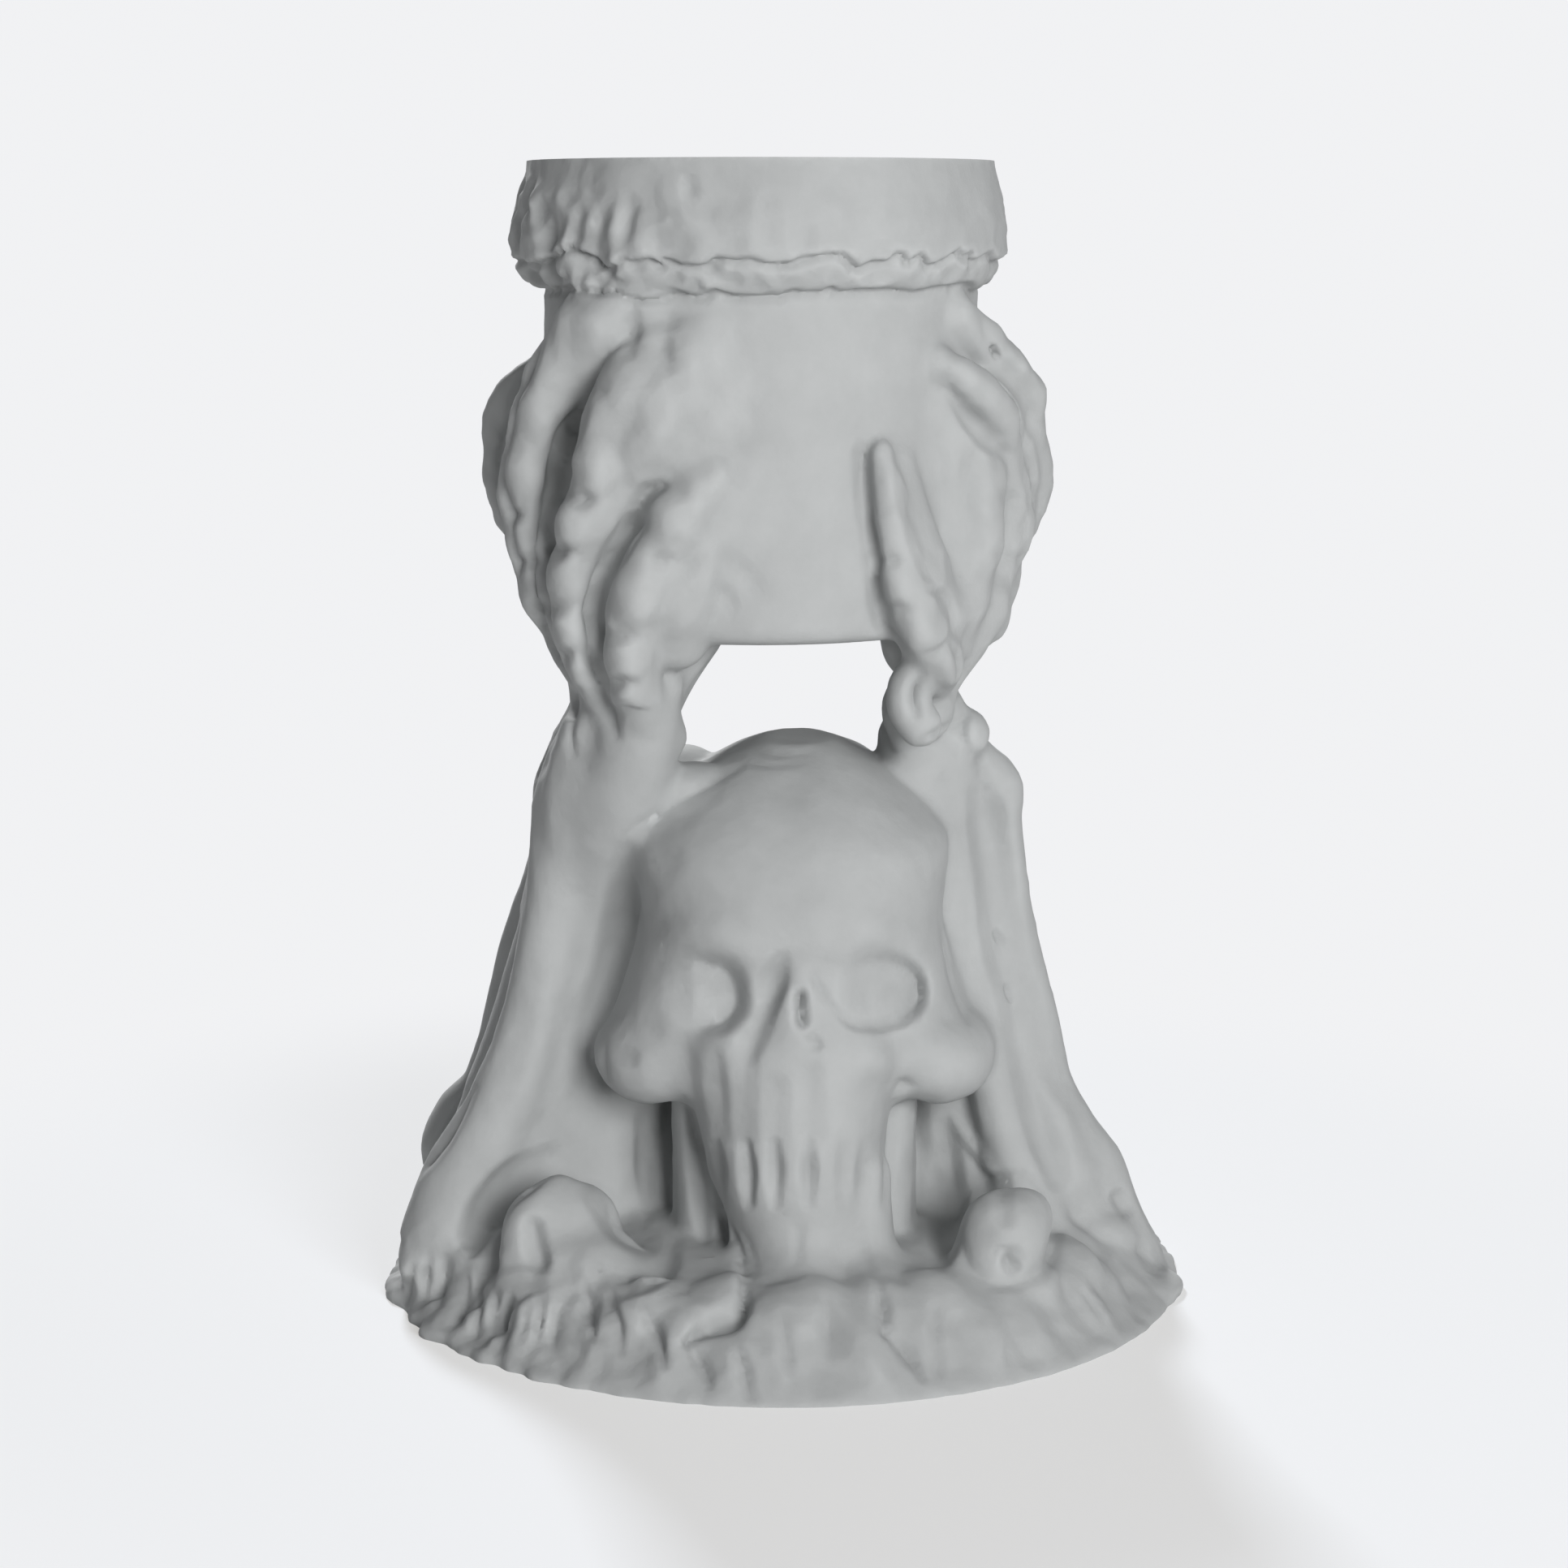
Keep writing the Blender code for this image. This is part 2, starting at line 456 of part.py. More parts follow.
def build_clay():
    clay = Clay()
    lay_cup(clay)
    lay_mound(clay)
    lay_skull(clay)
    lay_arms(clay)
    lay_wrists(clay)
    lay_hands(clay)
    lay_mound_pieces(clay)
    return clay.remeshed(VOXEL)


def array_of(items, field, width, kind=float):
    values = np.empty(len(items) * width, kind)
    items.foreach_get(field, values)
    return values.reshape(-1, width)


def ring(x, up, radius, width, depth):
    """Rows of a closed round stroke about (x, up), in mm."""
    turns = np.linspace(0, 2 * math.pi, 9)
    return [(x + radius * math.sin(turn), up + radius * math.cos(turn), width, depth) for turn in turns]


class Skin:
    """The merged mesh's points, pressed, raised and smoothed by hand."""

    def __init__(self, mesh):
        self.mesh = mesh
        self.points = array_of(mesh.vertices, "co", 3)
        self.edges = array_of(mesh.edges, "vertices", 2, int)

    def store(self):
        self.mesh.vertices.foreach_set("co", self.points.ravel())
        self.mesh.update()

    def normals(self):
        self.store()
        return array_of(self.mesh.vertices, "normal", 3)

    def stroke(self, places, rows):
        """How far each place is pressed by a stroke of (u, v, width, depth) rows, in mm."""
        path = smooth_path(rows) * MM
        pressed = np.zeros(len(places))
        for start, end in zip(path, path[1:]):
            along = end[:2] - start[:2]
            reach = places - start[:2]
            share = np.clip(reach @ along / max(along @ along, 1e-12), 0, 1)
            width, depth = (start[2:, None] + np.outer(end - start, share)[2:])
            gap = np.hypot(*(reach - np.outer(share, along)).T) / width
            effect = depth * np.maximum(0, 1 - gap**2) ** 2
            pressed = np.where(np.abs(effect) > np.abs(pressed), effect, pressed)
        return pressed

    def press_front(self, origin, *strokes):
        """Presses the skull's and arms' front straight back, with strokes over (right, up) of the origin."""
        facing = np.clip(-4 * self.normals()[:, 1], 0, 1) * (self.points[:, 1] < 4 * MM)
        places = self.points[:, [0, 2]] - np.array([origin.x, origin.z])
        for rows in strokes:
            self.points[:, 1] += facing * self.stroke(places, rows)

    def press_cup(self, *strokes):
        """Presses the cup and fingers inwards, with strokes over (degrees, mm up) of the cup's underside."""
        out = self.points[:, :2] - np.array([CUP_X, CUP_Y])
        reach = np.hypot(*out.T)
        facing = np.clip(4 * (self.normals()[:, :2] * out).sum(1) / reach, 0, 1) * (reach > BORE_RADIUS)
        arc = CUP_RADIUS * math.radians(1) / MM
        round_cup = np.arctan2(out[:, 0], -out[:, 1]) * CUP_RADIUS
        places = np.column_stack([round_cup, self.points[:, 2] - CUP_BOTTOM])
        for rows in strokes:
            pressed = facing * self.stroke(places, [(angle * arc, *rest) for angle, *rest in rows])
            self.points[:, :2] -= out / reach[:, None] * pressed[:, None]

    def relax(self, share, rounds):
        """Moves each point towards the middle of its neighbours by its own share."""
        count = np.bincount(self.edges.ravel(), minlength=len(self.points))[:, None]
        for _ in range(rounds):
            total = np.zeros_like(self.points)
            for a, b in ((0, 1), (1, 0)):
                for axis in range(3):
                    ends = self.points[self.edges[:, b], axis]
                    total[:, axis] += np.bincount(self.edges[:, a], ends, len(total))
            self.points += share[:, None] * (total / count - self.points)


def press_features(mesh):
    """The sockets, nose and hollows of the skull, the grooves of the arms and the clefts of the fingers."""
    skin = Skin(mesh)
    skull = Vector((SKULL_X, 0, SKULL_TOP))
    low, high = skin.points[:, 2] > MOUND_CROWN, skin.points[:, 2] < CUP_BOTTOM - 16 * MM
    aside = np.abs(skin.points[:, 0] - SKULL_X) > SKULL_HALF_WIDTH - 2 * MM
    skin.relax(0.5 * (low & high & aside), 10)
    skin.press_front(
        skull,
        ring(-11.7, -28.7, 2.6, 3.6, 4.4),
        [(-12.2, -28.7, 3.4, 3.0), (-11.2, -28.7, 3.4, 3.0)],
        ring(11.9, -28.6, 2.4, 3.5, 4.4),
        [(11.4, -28.6, 3.2, 3.0), (12.4, -28.6, 3.2, 3.0)],
        [(-3.4, -24, 1.8, 0.8), (-4.6, -29, 2.2, 1.4), (-5.4, -34, 2.2, 1.2)],
        [(0.8, -28.6, 1.7, 2.6), (0.9, -31.6, 1.9, 2.6)],
        [(-12.5, -43.0, 2.6, 1.0), (-10.2, -39.0, 2.6, 1.6), (-9.8, -46.0, 2.4, 1.2)],
        [(10.5, -41.0, 2.4, 1.2), (9.6, -46.0, 2.4, 0.8)],
    )
    skin.press_front(
        Vector((CUP_X, 0, CUP_BOTTOM)),
        [
            (29.5, -22, 2.2, 0.8), (30.3, -30, 2.4, 2.2), (31.6, -41, 2.4, 2.4), (33.2, -52, 2.6, 2.4),
            (36.0, -62, 2.8, 1.6), (38, -68, 2.4, 0.5),
        ],
    )
    skin.press_cup(
        [
            (-25, 19.4, 1.8, 0.6), (-32, 14.8, 2.2, 1.8), (-40, 9.8, 2.4, 2.2),
            (-47, 4.5, 2.4, 2.4), (-47, -1.2, 2.4, 2.2), (-43, -7.3, 2.0, 1.0),
        ],
        [
            (-43, 29.4, 2.0, 1.0), (-49, 23.7, 2.4, 2.0), (-53, 17.5, 2.6, 2.4),
            (-60, 9.9, 2.6, 2.4), (-59, 2.6, 2.4, 2.0), (-51, -4.2, 2.0, 1.0),
        ],
        [(38, 22, 2.4, 0.6), (42, 12, 3.0, 1.0), (50, 4, 3.0, 1.2)],
    )
    skin.store()


def cutter(name, home, adder, matrix):
    """A closed cutter, left out of the render."""
    data = bpy.data.meshes.new(name)
    bm = bmesh.new()
    adder(bm, matrix)
    bm.to_mesh(data)
    bm.free()
    obj = bpy.data.objects.new(name, data)
    obj.hide_render = True
    obj.display_type = "WIRE"
    home.objects.link(obj)
    return obj


def cuts(home):
    """What is below the ground, what is above the rim, and the candle's bore."""
    wide = 2 * (MOUND_RADIUS + CUT_MARGIN)

    def block(bm, matrix):
        bmesh.ops.create_cube(bm, size=1, matrix=matrix)

    def drum(bm, matrix):
        r = BORE_RADIUS
        bmesh.ops.create_cone(bm, cap_ends=True, segments=BORE_SIDES, radius1=r, radius2=r, depth=1, matrix=matrix)

    size = Matrix.Diagonal((wide, wide, CUT_MARGIN, 1))
    below = cutter("ground_cut", home, block, Matrix.Translation((0, 0, -CUT_MARGIN / 2)) @ size)
    above = cutter("rim_cut", home, block, Matrix.Translation((0, 0, HEIGHT + CUT_MARGIN / 2)) @ size)
    long = BORE_DEPTH + CUT_MARGIN
    place = Matrix.Translation((CUP_X, CUP_Y, HEIGHT - BORE_DEPTH + long / 2)) @ Matrix.Diagonal((1, 1, long, 1))
    bore = cutter("candle_bore", home, drum, place)
    return below, above, bore


def casting_material():
    """Matt grey cast resin."""
    material = bpy.data.materials.new("grey_resin")
    material.use_nodes = True
    shader = material.node_tree.nodes["Principled BSDF"]
    shader.inputs["Base Color"].default_value = (0.44, 0.45, 0.45, 1)
    shader.inputs["Roughness"].default_value = 0.75
    shader.inputs["Metallic"].default_value = 0.0
    return material


def build():
    clear_scene()
    home = collection("skeleton_candle_holder")
    cutters = collection("cutters")
    merged = build_clay()
    press_features(merged)
    casting = bpy.data.objects.new(NODE_NAME, merged)
    home.objects.link(casting)
    casting.data.materials.clear()
    casting.data.materials.append(casting_material())

    soften = casting.modifiers.new("soften", "SMOOTH")
    soften.factor = 0.5
    soften.iterations = SOFTENING_PASSES
    thin = casting.modifiers.new("thin", "DECIMATE")
    thin.ratio = KEPT_FACES
    for tool in cuts(cutters):
        cut = casting.modifiers.new(tool.name, "BOOLEAN")
        cut.operation = "DIFFERENCE"
        cut.object = tool
    casting.data.shade_smooth()


build()
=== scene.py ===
"""Skeleton candle holder, finished as the casting it is: matt grey resin over a hand-sculpted form.

Metres, +Z up, front towards -Y. The form is laid up as clay, merged, and then carved: crusted rim, knuckles
and clefts of the hands, the skull's sockets, nose and teeth, the arms' grooves and the mound's rocks.
"""

import math

import bmesh
import bpy
import numpy as np
from mathutils import Euler, Matrix, Vector, noise


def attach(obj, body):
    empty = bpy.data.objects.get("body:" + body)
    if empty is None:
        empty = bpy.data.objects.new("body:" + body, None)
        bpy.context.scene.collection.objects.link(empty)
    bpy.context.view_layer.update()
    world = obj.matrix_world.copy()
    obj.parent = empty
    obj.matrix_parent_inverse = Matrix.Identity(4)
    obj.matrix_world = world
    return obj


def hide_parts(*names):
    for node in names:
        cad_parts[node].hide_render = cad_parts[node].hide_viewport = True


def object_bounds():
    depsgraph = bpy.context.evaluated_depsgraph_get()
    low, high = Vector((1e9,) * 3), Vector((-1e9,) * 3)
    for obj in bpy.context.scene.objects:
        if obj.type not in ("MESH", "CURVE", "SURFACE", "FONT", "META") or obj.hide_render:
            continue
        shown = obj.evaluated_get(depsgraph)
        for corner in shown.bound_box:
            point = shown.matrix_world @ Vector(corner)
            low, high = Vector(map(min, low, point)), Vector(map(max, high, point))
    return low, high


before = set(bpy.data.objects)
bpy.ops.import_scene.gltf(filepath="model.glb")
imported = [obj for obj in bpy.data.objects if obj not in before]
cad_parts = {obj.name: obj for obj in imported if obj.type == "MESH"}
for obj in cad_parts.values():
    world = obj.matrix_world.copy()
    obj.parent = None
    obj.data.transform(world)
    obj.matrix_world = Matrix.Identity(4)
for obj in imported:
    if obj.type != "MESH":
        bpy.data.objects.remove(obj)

bl_info = {
    "name": "Skeleton Candle Holder",
    "version": (1, 0, 0),
    "blender": (4, 5, 0),
    "location": "3D View > Sidebar > Candle Holder",
    "description": "Builds a sculpted skeleton candle holder and its studio stage",
    "category": "Add Mesh",
}

MM = 0.001
CAD_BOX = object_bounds()

# The whole casting
HEIGHT = 150.0 * MM

# Candle cup
CUP_X = -3.0 * MM
CUP_Y = 0.0 * MM
CUP_RADIUS = 28.4 * MM
CUP_HEIGHT = 60.4 * MM
CUP_EDGE_ROUND = 2.2 * MM
BORE_RADIUS = 25.0 * MM
BORE_DEPTH = 50.0 * MM

# Crusted rim
RIM_RADIUS = 30.3 * MM
SKIRT_RADIUS = 32.1 * MM
SKIRT_DROP = 12.6 * MM
HEM_STEP = 0.3 * MM
BAND_RADIUS = 30.1 * MM
BAND_DROP = 16.6 * MM

# Mound
MOUND_RADIUS = 54.2 * MM
MOUND_DEPTH_SHARE = 1.03
MOUND_EDGE = 4.0 * MM
MOUND_CROWN = 11.0 * MM
MOUND_FOLDS = 38

# Skull
SKULL_X = 1.4 * MM
SKULL_FRONT = 32.0 * MM
SKULL_TOP = 74.6 * MM
SKULL_HALF_WIDTH = 22.0 * MM
SKULL_HALF_DEPTH = 26.0 * MM
TEETH_FOOT = 18.6 * MM

# Arms
FOOT_INSET = 7.5 * MM
FOOT_HEIGHT = 8.0 * MM
LEFT_WRIST_REACH = 21.0 * MM
RIGHT_WRIST_REACH = 24.0 * MM
WRIST_DROP = 12.0 * MM

# Camera: the carving strokes are laid in its frame, in pixels of a square picture
PICTURE = 1932
CAMERA_PLACE = Vector((0.0, -0.434, 0.1428))
CAMERA_TILT = math.radians(9.85)
CAMERA_ANGLE = math.radians(27.0)

CUP_BOTTOM = HEIGHT - CUP_HEIGHT

# Stage
KEY_PLACE = (0.33, -0.80, 0.28)
KEY_SIZE = 0.36
BACK_PLACE = (-0.30, 1.24, 0.92)
BACK_SIZE = 0.2
LAMP_AIM = (0, 0, 0.07)
FLOOR_REACH = 3.0
FLOOR_FADE = (0.10, 0.18)
WORLD_COLOUR = (0.9, 0.92, 0.95)

# Sculpting: rounds of smoothing, first all over and then where broad flesh or stone runs smooth
FIRST_SOFTENING = 10
ARM_SOFTENING = 24
SLOPE_SOFTENING = 24
WRIST_SOFTENING = 30

# The crust's hems as the camera sees them, in picture pixels
SKIRT_HEM = [
    (649, 327), (668, 318), (684, 312), (700, 304), (709, 309), (724, 316), (735, 327), (744, 331),
    (754, 328), (760, 325), (769, 319), (778, 323), (787, 321), (799, 319), (811, 327), (816, 318),
    (829, 324), (841, 327), (868, 328), (877, 321), (886, 319), (904, 321), (922, 319), (931, 321),
    (939, 324), (957, 326), (975, 324), (990, 319), (1005, 317), (1018, 315), (1035, 312), (1042, 316),
    (1053, 324), (1059, 331), (1068, 330), (1077, 324), (1098, 322), (1107, 313), (1117, 312), (1120, 321),
    (1126, 321), (1134, 315), (1140, 315), (1150, 327), (1167, 321), (1179, 312), (1184, 309), (1192, 315),
    (1201, 312), (1205, 322), (1222, 312),
]
BAND_HEM = [
    (669, 357), (690, 352), (712, 354), (735, 358), (756, 357), (763, 363), (781, 369), (796, 369),
    (811, 364), (823, 360), (829, 363), (853, 366), (868, 361), (877, 359), (889, 363), (904, 366),
    (948, 366), (954, 362), (960, 366), (975, 361), (990, 360), (1011, 361), (1026, 359), (1033, 354),
    (1041, 360), (1065, 359), (1110, 358), (1140, 360), (1154, 360), (1178, 355), (1199, 352),
]


def mm(*values):
    return Vector(values) * MM


def around_cup(angle, up, out):
    """A point by the cup: degrees from the front towards +X, mm above its bottom, mm out from its wall."""
    turn = math.radians(angle)
    reach = CUP_RADIUS + out * MM
    return Vector((CUP_X + reach * math.sin(turn), CUP_Y - reach * math.cos(turn), CUP_BOTTOM + up * MM))


def around_mound(angle, inset, up):
    """A point by the mound: degrees from the front towards +X, mm in from its edge, mm above the ground."""
    turn = math.radians(angle)
    reach = MOUND_RADIUS - inset * MM
    return Vector((reach * math.sin(turn), -reach * math.cos(turn) * MOUND_DEPTH_SHARE, up * MM))


def on_skull(x, y, z):
    """mm right of the skull's middle, back from its brow, and below its crown."""
    return Vector((SKULL_X, -SKULL_FRONT, SKULL_TOP)) + mm(x, y, -z)


def by_wrist(x, y, z):
    """mm right of, behind and above the middle of the cup's underside."""
    return Vector((CUP_X, CUP_Y, CUP_BOTTOM)) + mm(x, y, z)


def sight(x, y):
    """The camera's ray through a picture pixel."""
    scale = PICTURE / 2 / math.tan(CAMERA_ANGLE / 2)
    up = (PICTURE / 2 - y) / scale
    turn, tilt = math.cos(CAMERA_TILT), math.sin(CAMERA_TILT)
    return Vector(((x - PICTURE / 2) / scale, turn + up * tilt, up * turn - tilt))


def in_view(x, y, depth):
    """The point this many mm behind the holder's middle that shows at a picture pixel."""
    ray = sight(x, y)
    return CAMERA_PLACE + ray * ((depth * MM - CAMERA_PLACE.y) / ray.y)


def cup_place(x, y, out):
    """(degrees, mm up) where a pixel's ray meets a drum this many mm outside the cup."""
    ray = sight(x, y)
    start = CAMERA_PLACE - Vector((CUP_X, CUP_Y, CUP_BOTTOM))
    across = ray.xy.length_squared
    along = ray.xy.dot(start.xy) / across
    apart = along**2 - (start.xy.length_squared - (CUP_RADIUS + out * MM) ** 2) / across
    place = start + ray * (-along - math.sqrt(max(0.0, apart)))
    return math.degrees(math.atan2(place.x, -place.y)), place.z / MM


def smooth_path(knots, steps=4):
    """Catmull-Rom points through rows of numbers."""
    rows = np.array(knots, float)
    rows = np.vstack([2 * rows[0] - rows[1], rows, 2 * rows[-1] - rows[-2]])
    made = []
    for a, b, c, d in zip(rows, rows[1:], rows[2:], rows[3:]):
        for t in np.linspace(0, 1, steps, endpoint=False):
            bend = 2 * a - 5 * b + 4 * c - d
            made.append(0.5 * (2 * b + (c - a) * t + bend * t**2 + (3 * b - a - 3 * c + d) * t**3))
    made.append(rows[-2])
    return np.array(made)


def evaluated_mesh(obj):
    bpy.context.view_layer.update()
    return bpy.data.meshes.new_from_object(obj.evaluated_get(bpy.context.evaluated_depsgraph_get()))


class Clay:
    """Closed shapes piled into one mesh, which the remesh then merges."""

    def __init__(self):
        self.bm = bmesh.new()

    def add_guide(self, data, matrix=Matrix(), screw_sides=0):
        """Turns curve or profile data into a mesh and adds it to the pile."""
        guide = bpy.data.objects.new("guide", data)
        bpy.context.scene.collection.objects.link(guide)
        if screw_sides:
            screw = guide.modifiers.new("turn", "SCREW")
            screw.steps = screw.render_steps = screw_sides
            screw.use_merge_vertices = True
            screw.merge_threshold = 1e-5
        made = evaluated_mesh(guide)
        bpy.data.objects.remove(guide)
        made.transform(matrix)
        self.bm.from_mesh(made)
        bpy.data.meshes.remove(made)

    def lump(self, centre, radii, turn=(0, 0, 0)):
        """An ellipsoid: centre, three radii in mm, and a turn in degrees."""
        rotation = Euler([math.radians(a) for a in turn]).to_matrix().to_4x4()
        matrix = Matrix.Translation(centre) @ rotation @ Matrix.Diagonal((*mm(*radii), 1))
        bmesh.ops.create_icosphere(self.bm, subdivisions=4, radius=1, matrix=matrix)

    def bone(self, *knots):
        """A tapered tube with round ends through (point, radius in mm) knots."""
        data = bpy.data.curves.new("bone", "CURVE")
        data.dimensions = "3D"
        data.bevel_depth = MM
        data.bevel_resolution = 5
        data.use_fill_caps = True
        spline = data.splines.new("POLY")
        points = smooth_path([(*point, radius) for point, radius in knots], 6)
        spline.points.add(len(points) - 1)
        for place, (x, y, z, radius) in zip(spline.points, points):
            place.co = (x, y, z, 1)
            place.radius = radius
        self.add_guide(data)
        for point, radius in (knots[0], knots[-1]):
            self.lump(point, (radius, radius, radius))

    def bone_by(self, place, *rows):
        """A bone through (x, y, z, radius) rows that place puts in space."""
        self.bone(*[(place(*row[:3]), row[3]) for row in rows])

    def turned(self, profile, x, y, sides=160, depth=1.0):
        """A turned solid on a vertical axis from (radius, height) points, top to bottom, its depth scaled."""
        data = bpy.data.meshes.new("profile")
        rows = [(0, 0, profile[0][1]), *[(radius, 0, z) for radius, z in profile], (0, 0, profile[-1][1])]
        data.from_pydata(rows, [(i, i + 1) for i in range(len(rows) - 1)], [])
        self.add_guide(data, Matrix.Translation((x, y, 0)) @ Matrix.Diagonal((1, depth, 1, 1)), sides)

    def loft(self, place, middle, *rows, squareness=2.4, sides=80):
        """A closed skin through level (up, left, right, front, back) rows that place puts in space."""
        rings = []
        for up, left, right, front, back in smooth_path(rows, 5):
            ring = []
            for turn in np.linspace(0, 2 * math.pi, sides, endpoint=False):
                x, y = math.cos(turn), math.sin(turn)
                reach = (right if x > 0 else -left, back - middle if y > 0 else middle - front)
                x, y = (math.copysign(abs(v) ** (2 / squareness), v) * size for v, size in zip((x, y), reach))
                ring.append(self.bm.verts.new(place(x, middle + y, up)))
            rings.append(ring)
        for low, high in zip(rings, rings[1:]):
            for i in range(sides):
                self.bm.faces.new((low[i - 1], low[i], high[i], high[i - 1]))
        self.bm.faces.new(rings[0])
        self.bm.faces.new(reversed(rings[-1]))

    def digit(self, *rows):
        """A finger on the cup from (degrees, mm up, mm out, radius in mm) rows."""
        self.bone(*[(around_cup(angle, up, out), radius) for angle, up, out, radius in rows])

    def limb(self, foot, wrist, *rows):
        """A long bone from foot to wrist: rows of (share of the way up, bow in x and y, radius), in mm."""
        self.bone(*[(foot.lerp(wrist, share) + mm(x, y, 0), radius) for share, x, y, radius in rows])

    def remeshed(self, voxel):
        """The pile as one mesh of its outer surface."""
        data = bpy.data.meshes.new("pile")
        self.bm.to_mesh(data)
        self.bm.free()
        pile = bpy.data.objects.new("pile", data)
        bpy.context.scene.collection.objects.link(pile)
        remesh = pile.modifiers.new("merge", "REMESH")
        remesh.mode = "VOXEL"
        remesh.voxel_size = voxel
        made = evaluated_mesh(pile)
        bpy.data.objects.remove(pile)
        return made


def lay_cup(clay):
    """The pot, with a rounded lower edge, and the two overhangs of its rim."""
    r, low, soft = CUP_RADIUS, CUP_BOTTOM, CUP_EDGE_ROUND
    skirt = HEIGHT - SKIRT_DROP
    band = HEIGHT - BAND_DROP
    rim = [(RIM_RADIUS, HEIGHT + 2 * MM), (RIM_RADIUS, HEIGHT)]
    hem = [(SKIRT_RADIUS, skirt + 4.5 * MM), (SKIRT_RADIUS, skirt + MM), (SKIRT_RADIUS - HEM_STEP, skirt)]
    pot = [(BAND_RADIUS, band + MM), (r, band), (r, low + soft)]
    foot = [(r - 0.3 * soft, low + 0.3 * soft), (r - soft, low)]
    clay.turned(rim + hem + pot + foot, CUP_X, CUP_Y)


def lay_mound(clay):
    """A low dome with a blunt edge that runs on below the ground, where it is cut flat."""
    r, edge, crown = MOUND_RADIUS, MOUND_EDGE, MOUND_CROWN
    dome = [(0.56 * r, crown), (0.74 * r, 0.2 * edge + 0.8 * crown), (0.86 * r, 0.6 * edge + 0.4 * crown)]
    side = [(0.92 * r, edge), (0.965 * r, 0.4 * edge), (r, 0.1 * edge), (r, -2 * MM)]
    clay.turned(dome + side, 0, 0, depth=MOUND_DEPTH_SHARE)


def lay_skull(clay):
    w, d, foot = SKULL_HALF_WIDTH / MM, SKULL_HALF_DEPTH / MM, (SKULL_TOP - TEETH_FOOT) / MM
    # cranium, brow and cheeks
    clay.loft(
        on_skull, 24, (-0.4, -4, 5, 19, 33), (2.6, -10.5, 11, 12.6, 2 * d - 8),
        (7.2, -0.77 * w, 0.75 * w, 6.5, 2 * d - 3), (12, -0.98 * w, 0.93 * w, 2.6, 2 * d),
        (17.5, -0.95 * w, 0.92 * w, 0.6, 2 * d + 1), (21.4, -0.92 * w, 0.9 * w, 0, 2 * d),
        (26.2, -0.96 * w, 0.94 * w, 0.6, 2 * d - 2), (31, -1.03 * w, 1 * w, 1, 2 * d - 5),
        (35.2, -1.1 * w, 1.05 * w, 1.4, 42), (39.4, -1.12 * w, 1.05 * w, 1.6, 38),
        (43, -1.05 * w, 0.98 * w, 2.5, 34), (46, -0.8 * w, 0.75 * w, 5, 30),
    )
    # face under the cheekbones, teeth and chin, spreading into the mound
    clay.loft(
        on_skull, 12, (30, -12, 12, 0, 26), (36, -15.5, 14.5, -2.4, 26), (41, -14.6, 13.4, -3, 24),
        (45, -13.4, 12.6, -3.4, 22), (50, -12.2, 12, -3.4, 22), (foot - 2, -11.4, 11.4, -3.2, 22),
        (foot + 2.5, -9.6, 11.2, -2.6, 24), (foot + 6.5, -8.4, 12.2, -3, 30), (foot + 11, -9.6, 16, -6, 34),
        (foot + 17, -20, 22, -12, 40), squareness=2.3,
    )
    # the chin's melted folds, down to the mound
    clay.bone_by(
        in_view, (985, 1450, -28.5, 4.4), (985, 1530, -30, 5.2), (990, 1606, -34, 7), (998, 1660, -41, 5.4),
    )
    clay.bone_by(
        in_view, (1056, 1450, -26.5, 4.4), (1060, 1540, -28, 5), (1076, 1606, -32.5, 7),
        (1084, 1650, -40, 5.4),
    )
    clay.bone_by(in_view, (926, 1450, -27, 3.8), (940, 1545, -28.5, 4.4), (944, 1606, -33, 5.4))
    # flesh between the jaws and the cheeks
    for side in (-1, 1):
        clay.bone_by(
            on_skull, (side * 10.5, 17.5, 38, 6), (side * 10.5, 17.5, 52, 5.6), (side * 9.5, 14, 68, 6),
        )
    # nose
    clay.bone_by(on_skull, (0.6, 4.6, 22.5, 3.4), (0.6, 2.6, 28, 3.6), (0, 2.2, 34, 4.6), (-0.4, 3, 40, 6))
    clay.lump(on_skull(3.4, 5.6, 31), (6.4, 6, 10))
    for side in (-1, 1):  # cheekbones with their lobes, and the rear of the lower jaw
        clay.bone_by(
            on_skull, (side * 14, 9.5, 38, 5), (side * 18, 11.5, 40, 5.8), (side * 20.6, 15, 40.6, 5.8),
            (side * 21.2, 22, 39.5, 5.4), (side * 19.5, 30, 36, 5),
        )
        clay.bone_by(
            on_skull, (side * 13.6, 22, 36, 3.4), (side * 13.4, 20, 52, 3), (side * 12.4, 17, 66, 4),
        )
    # nape
    clay.bone_by(on_skull, (0, 35, 32, 15), (0, 33, 48, 14), (0, 31, 64, 18))


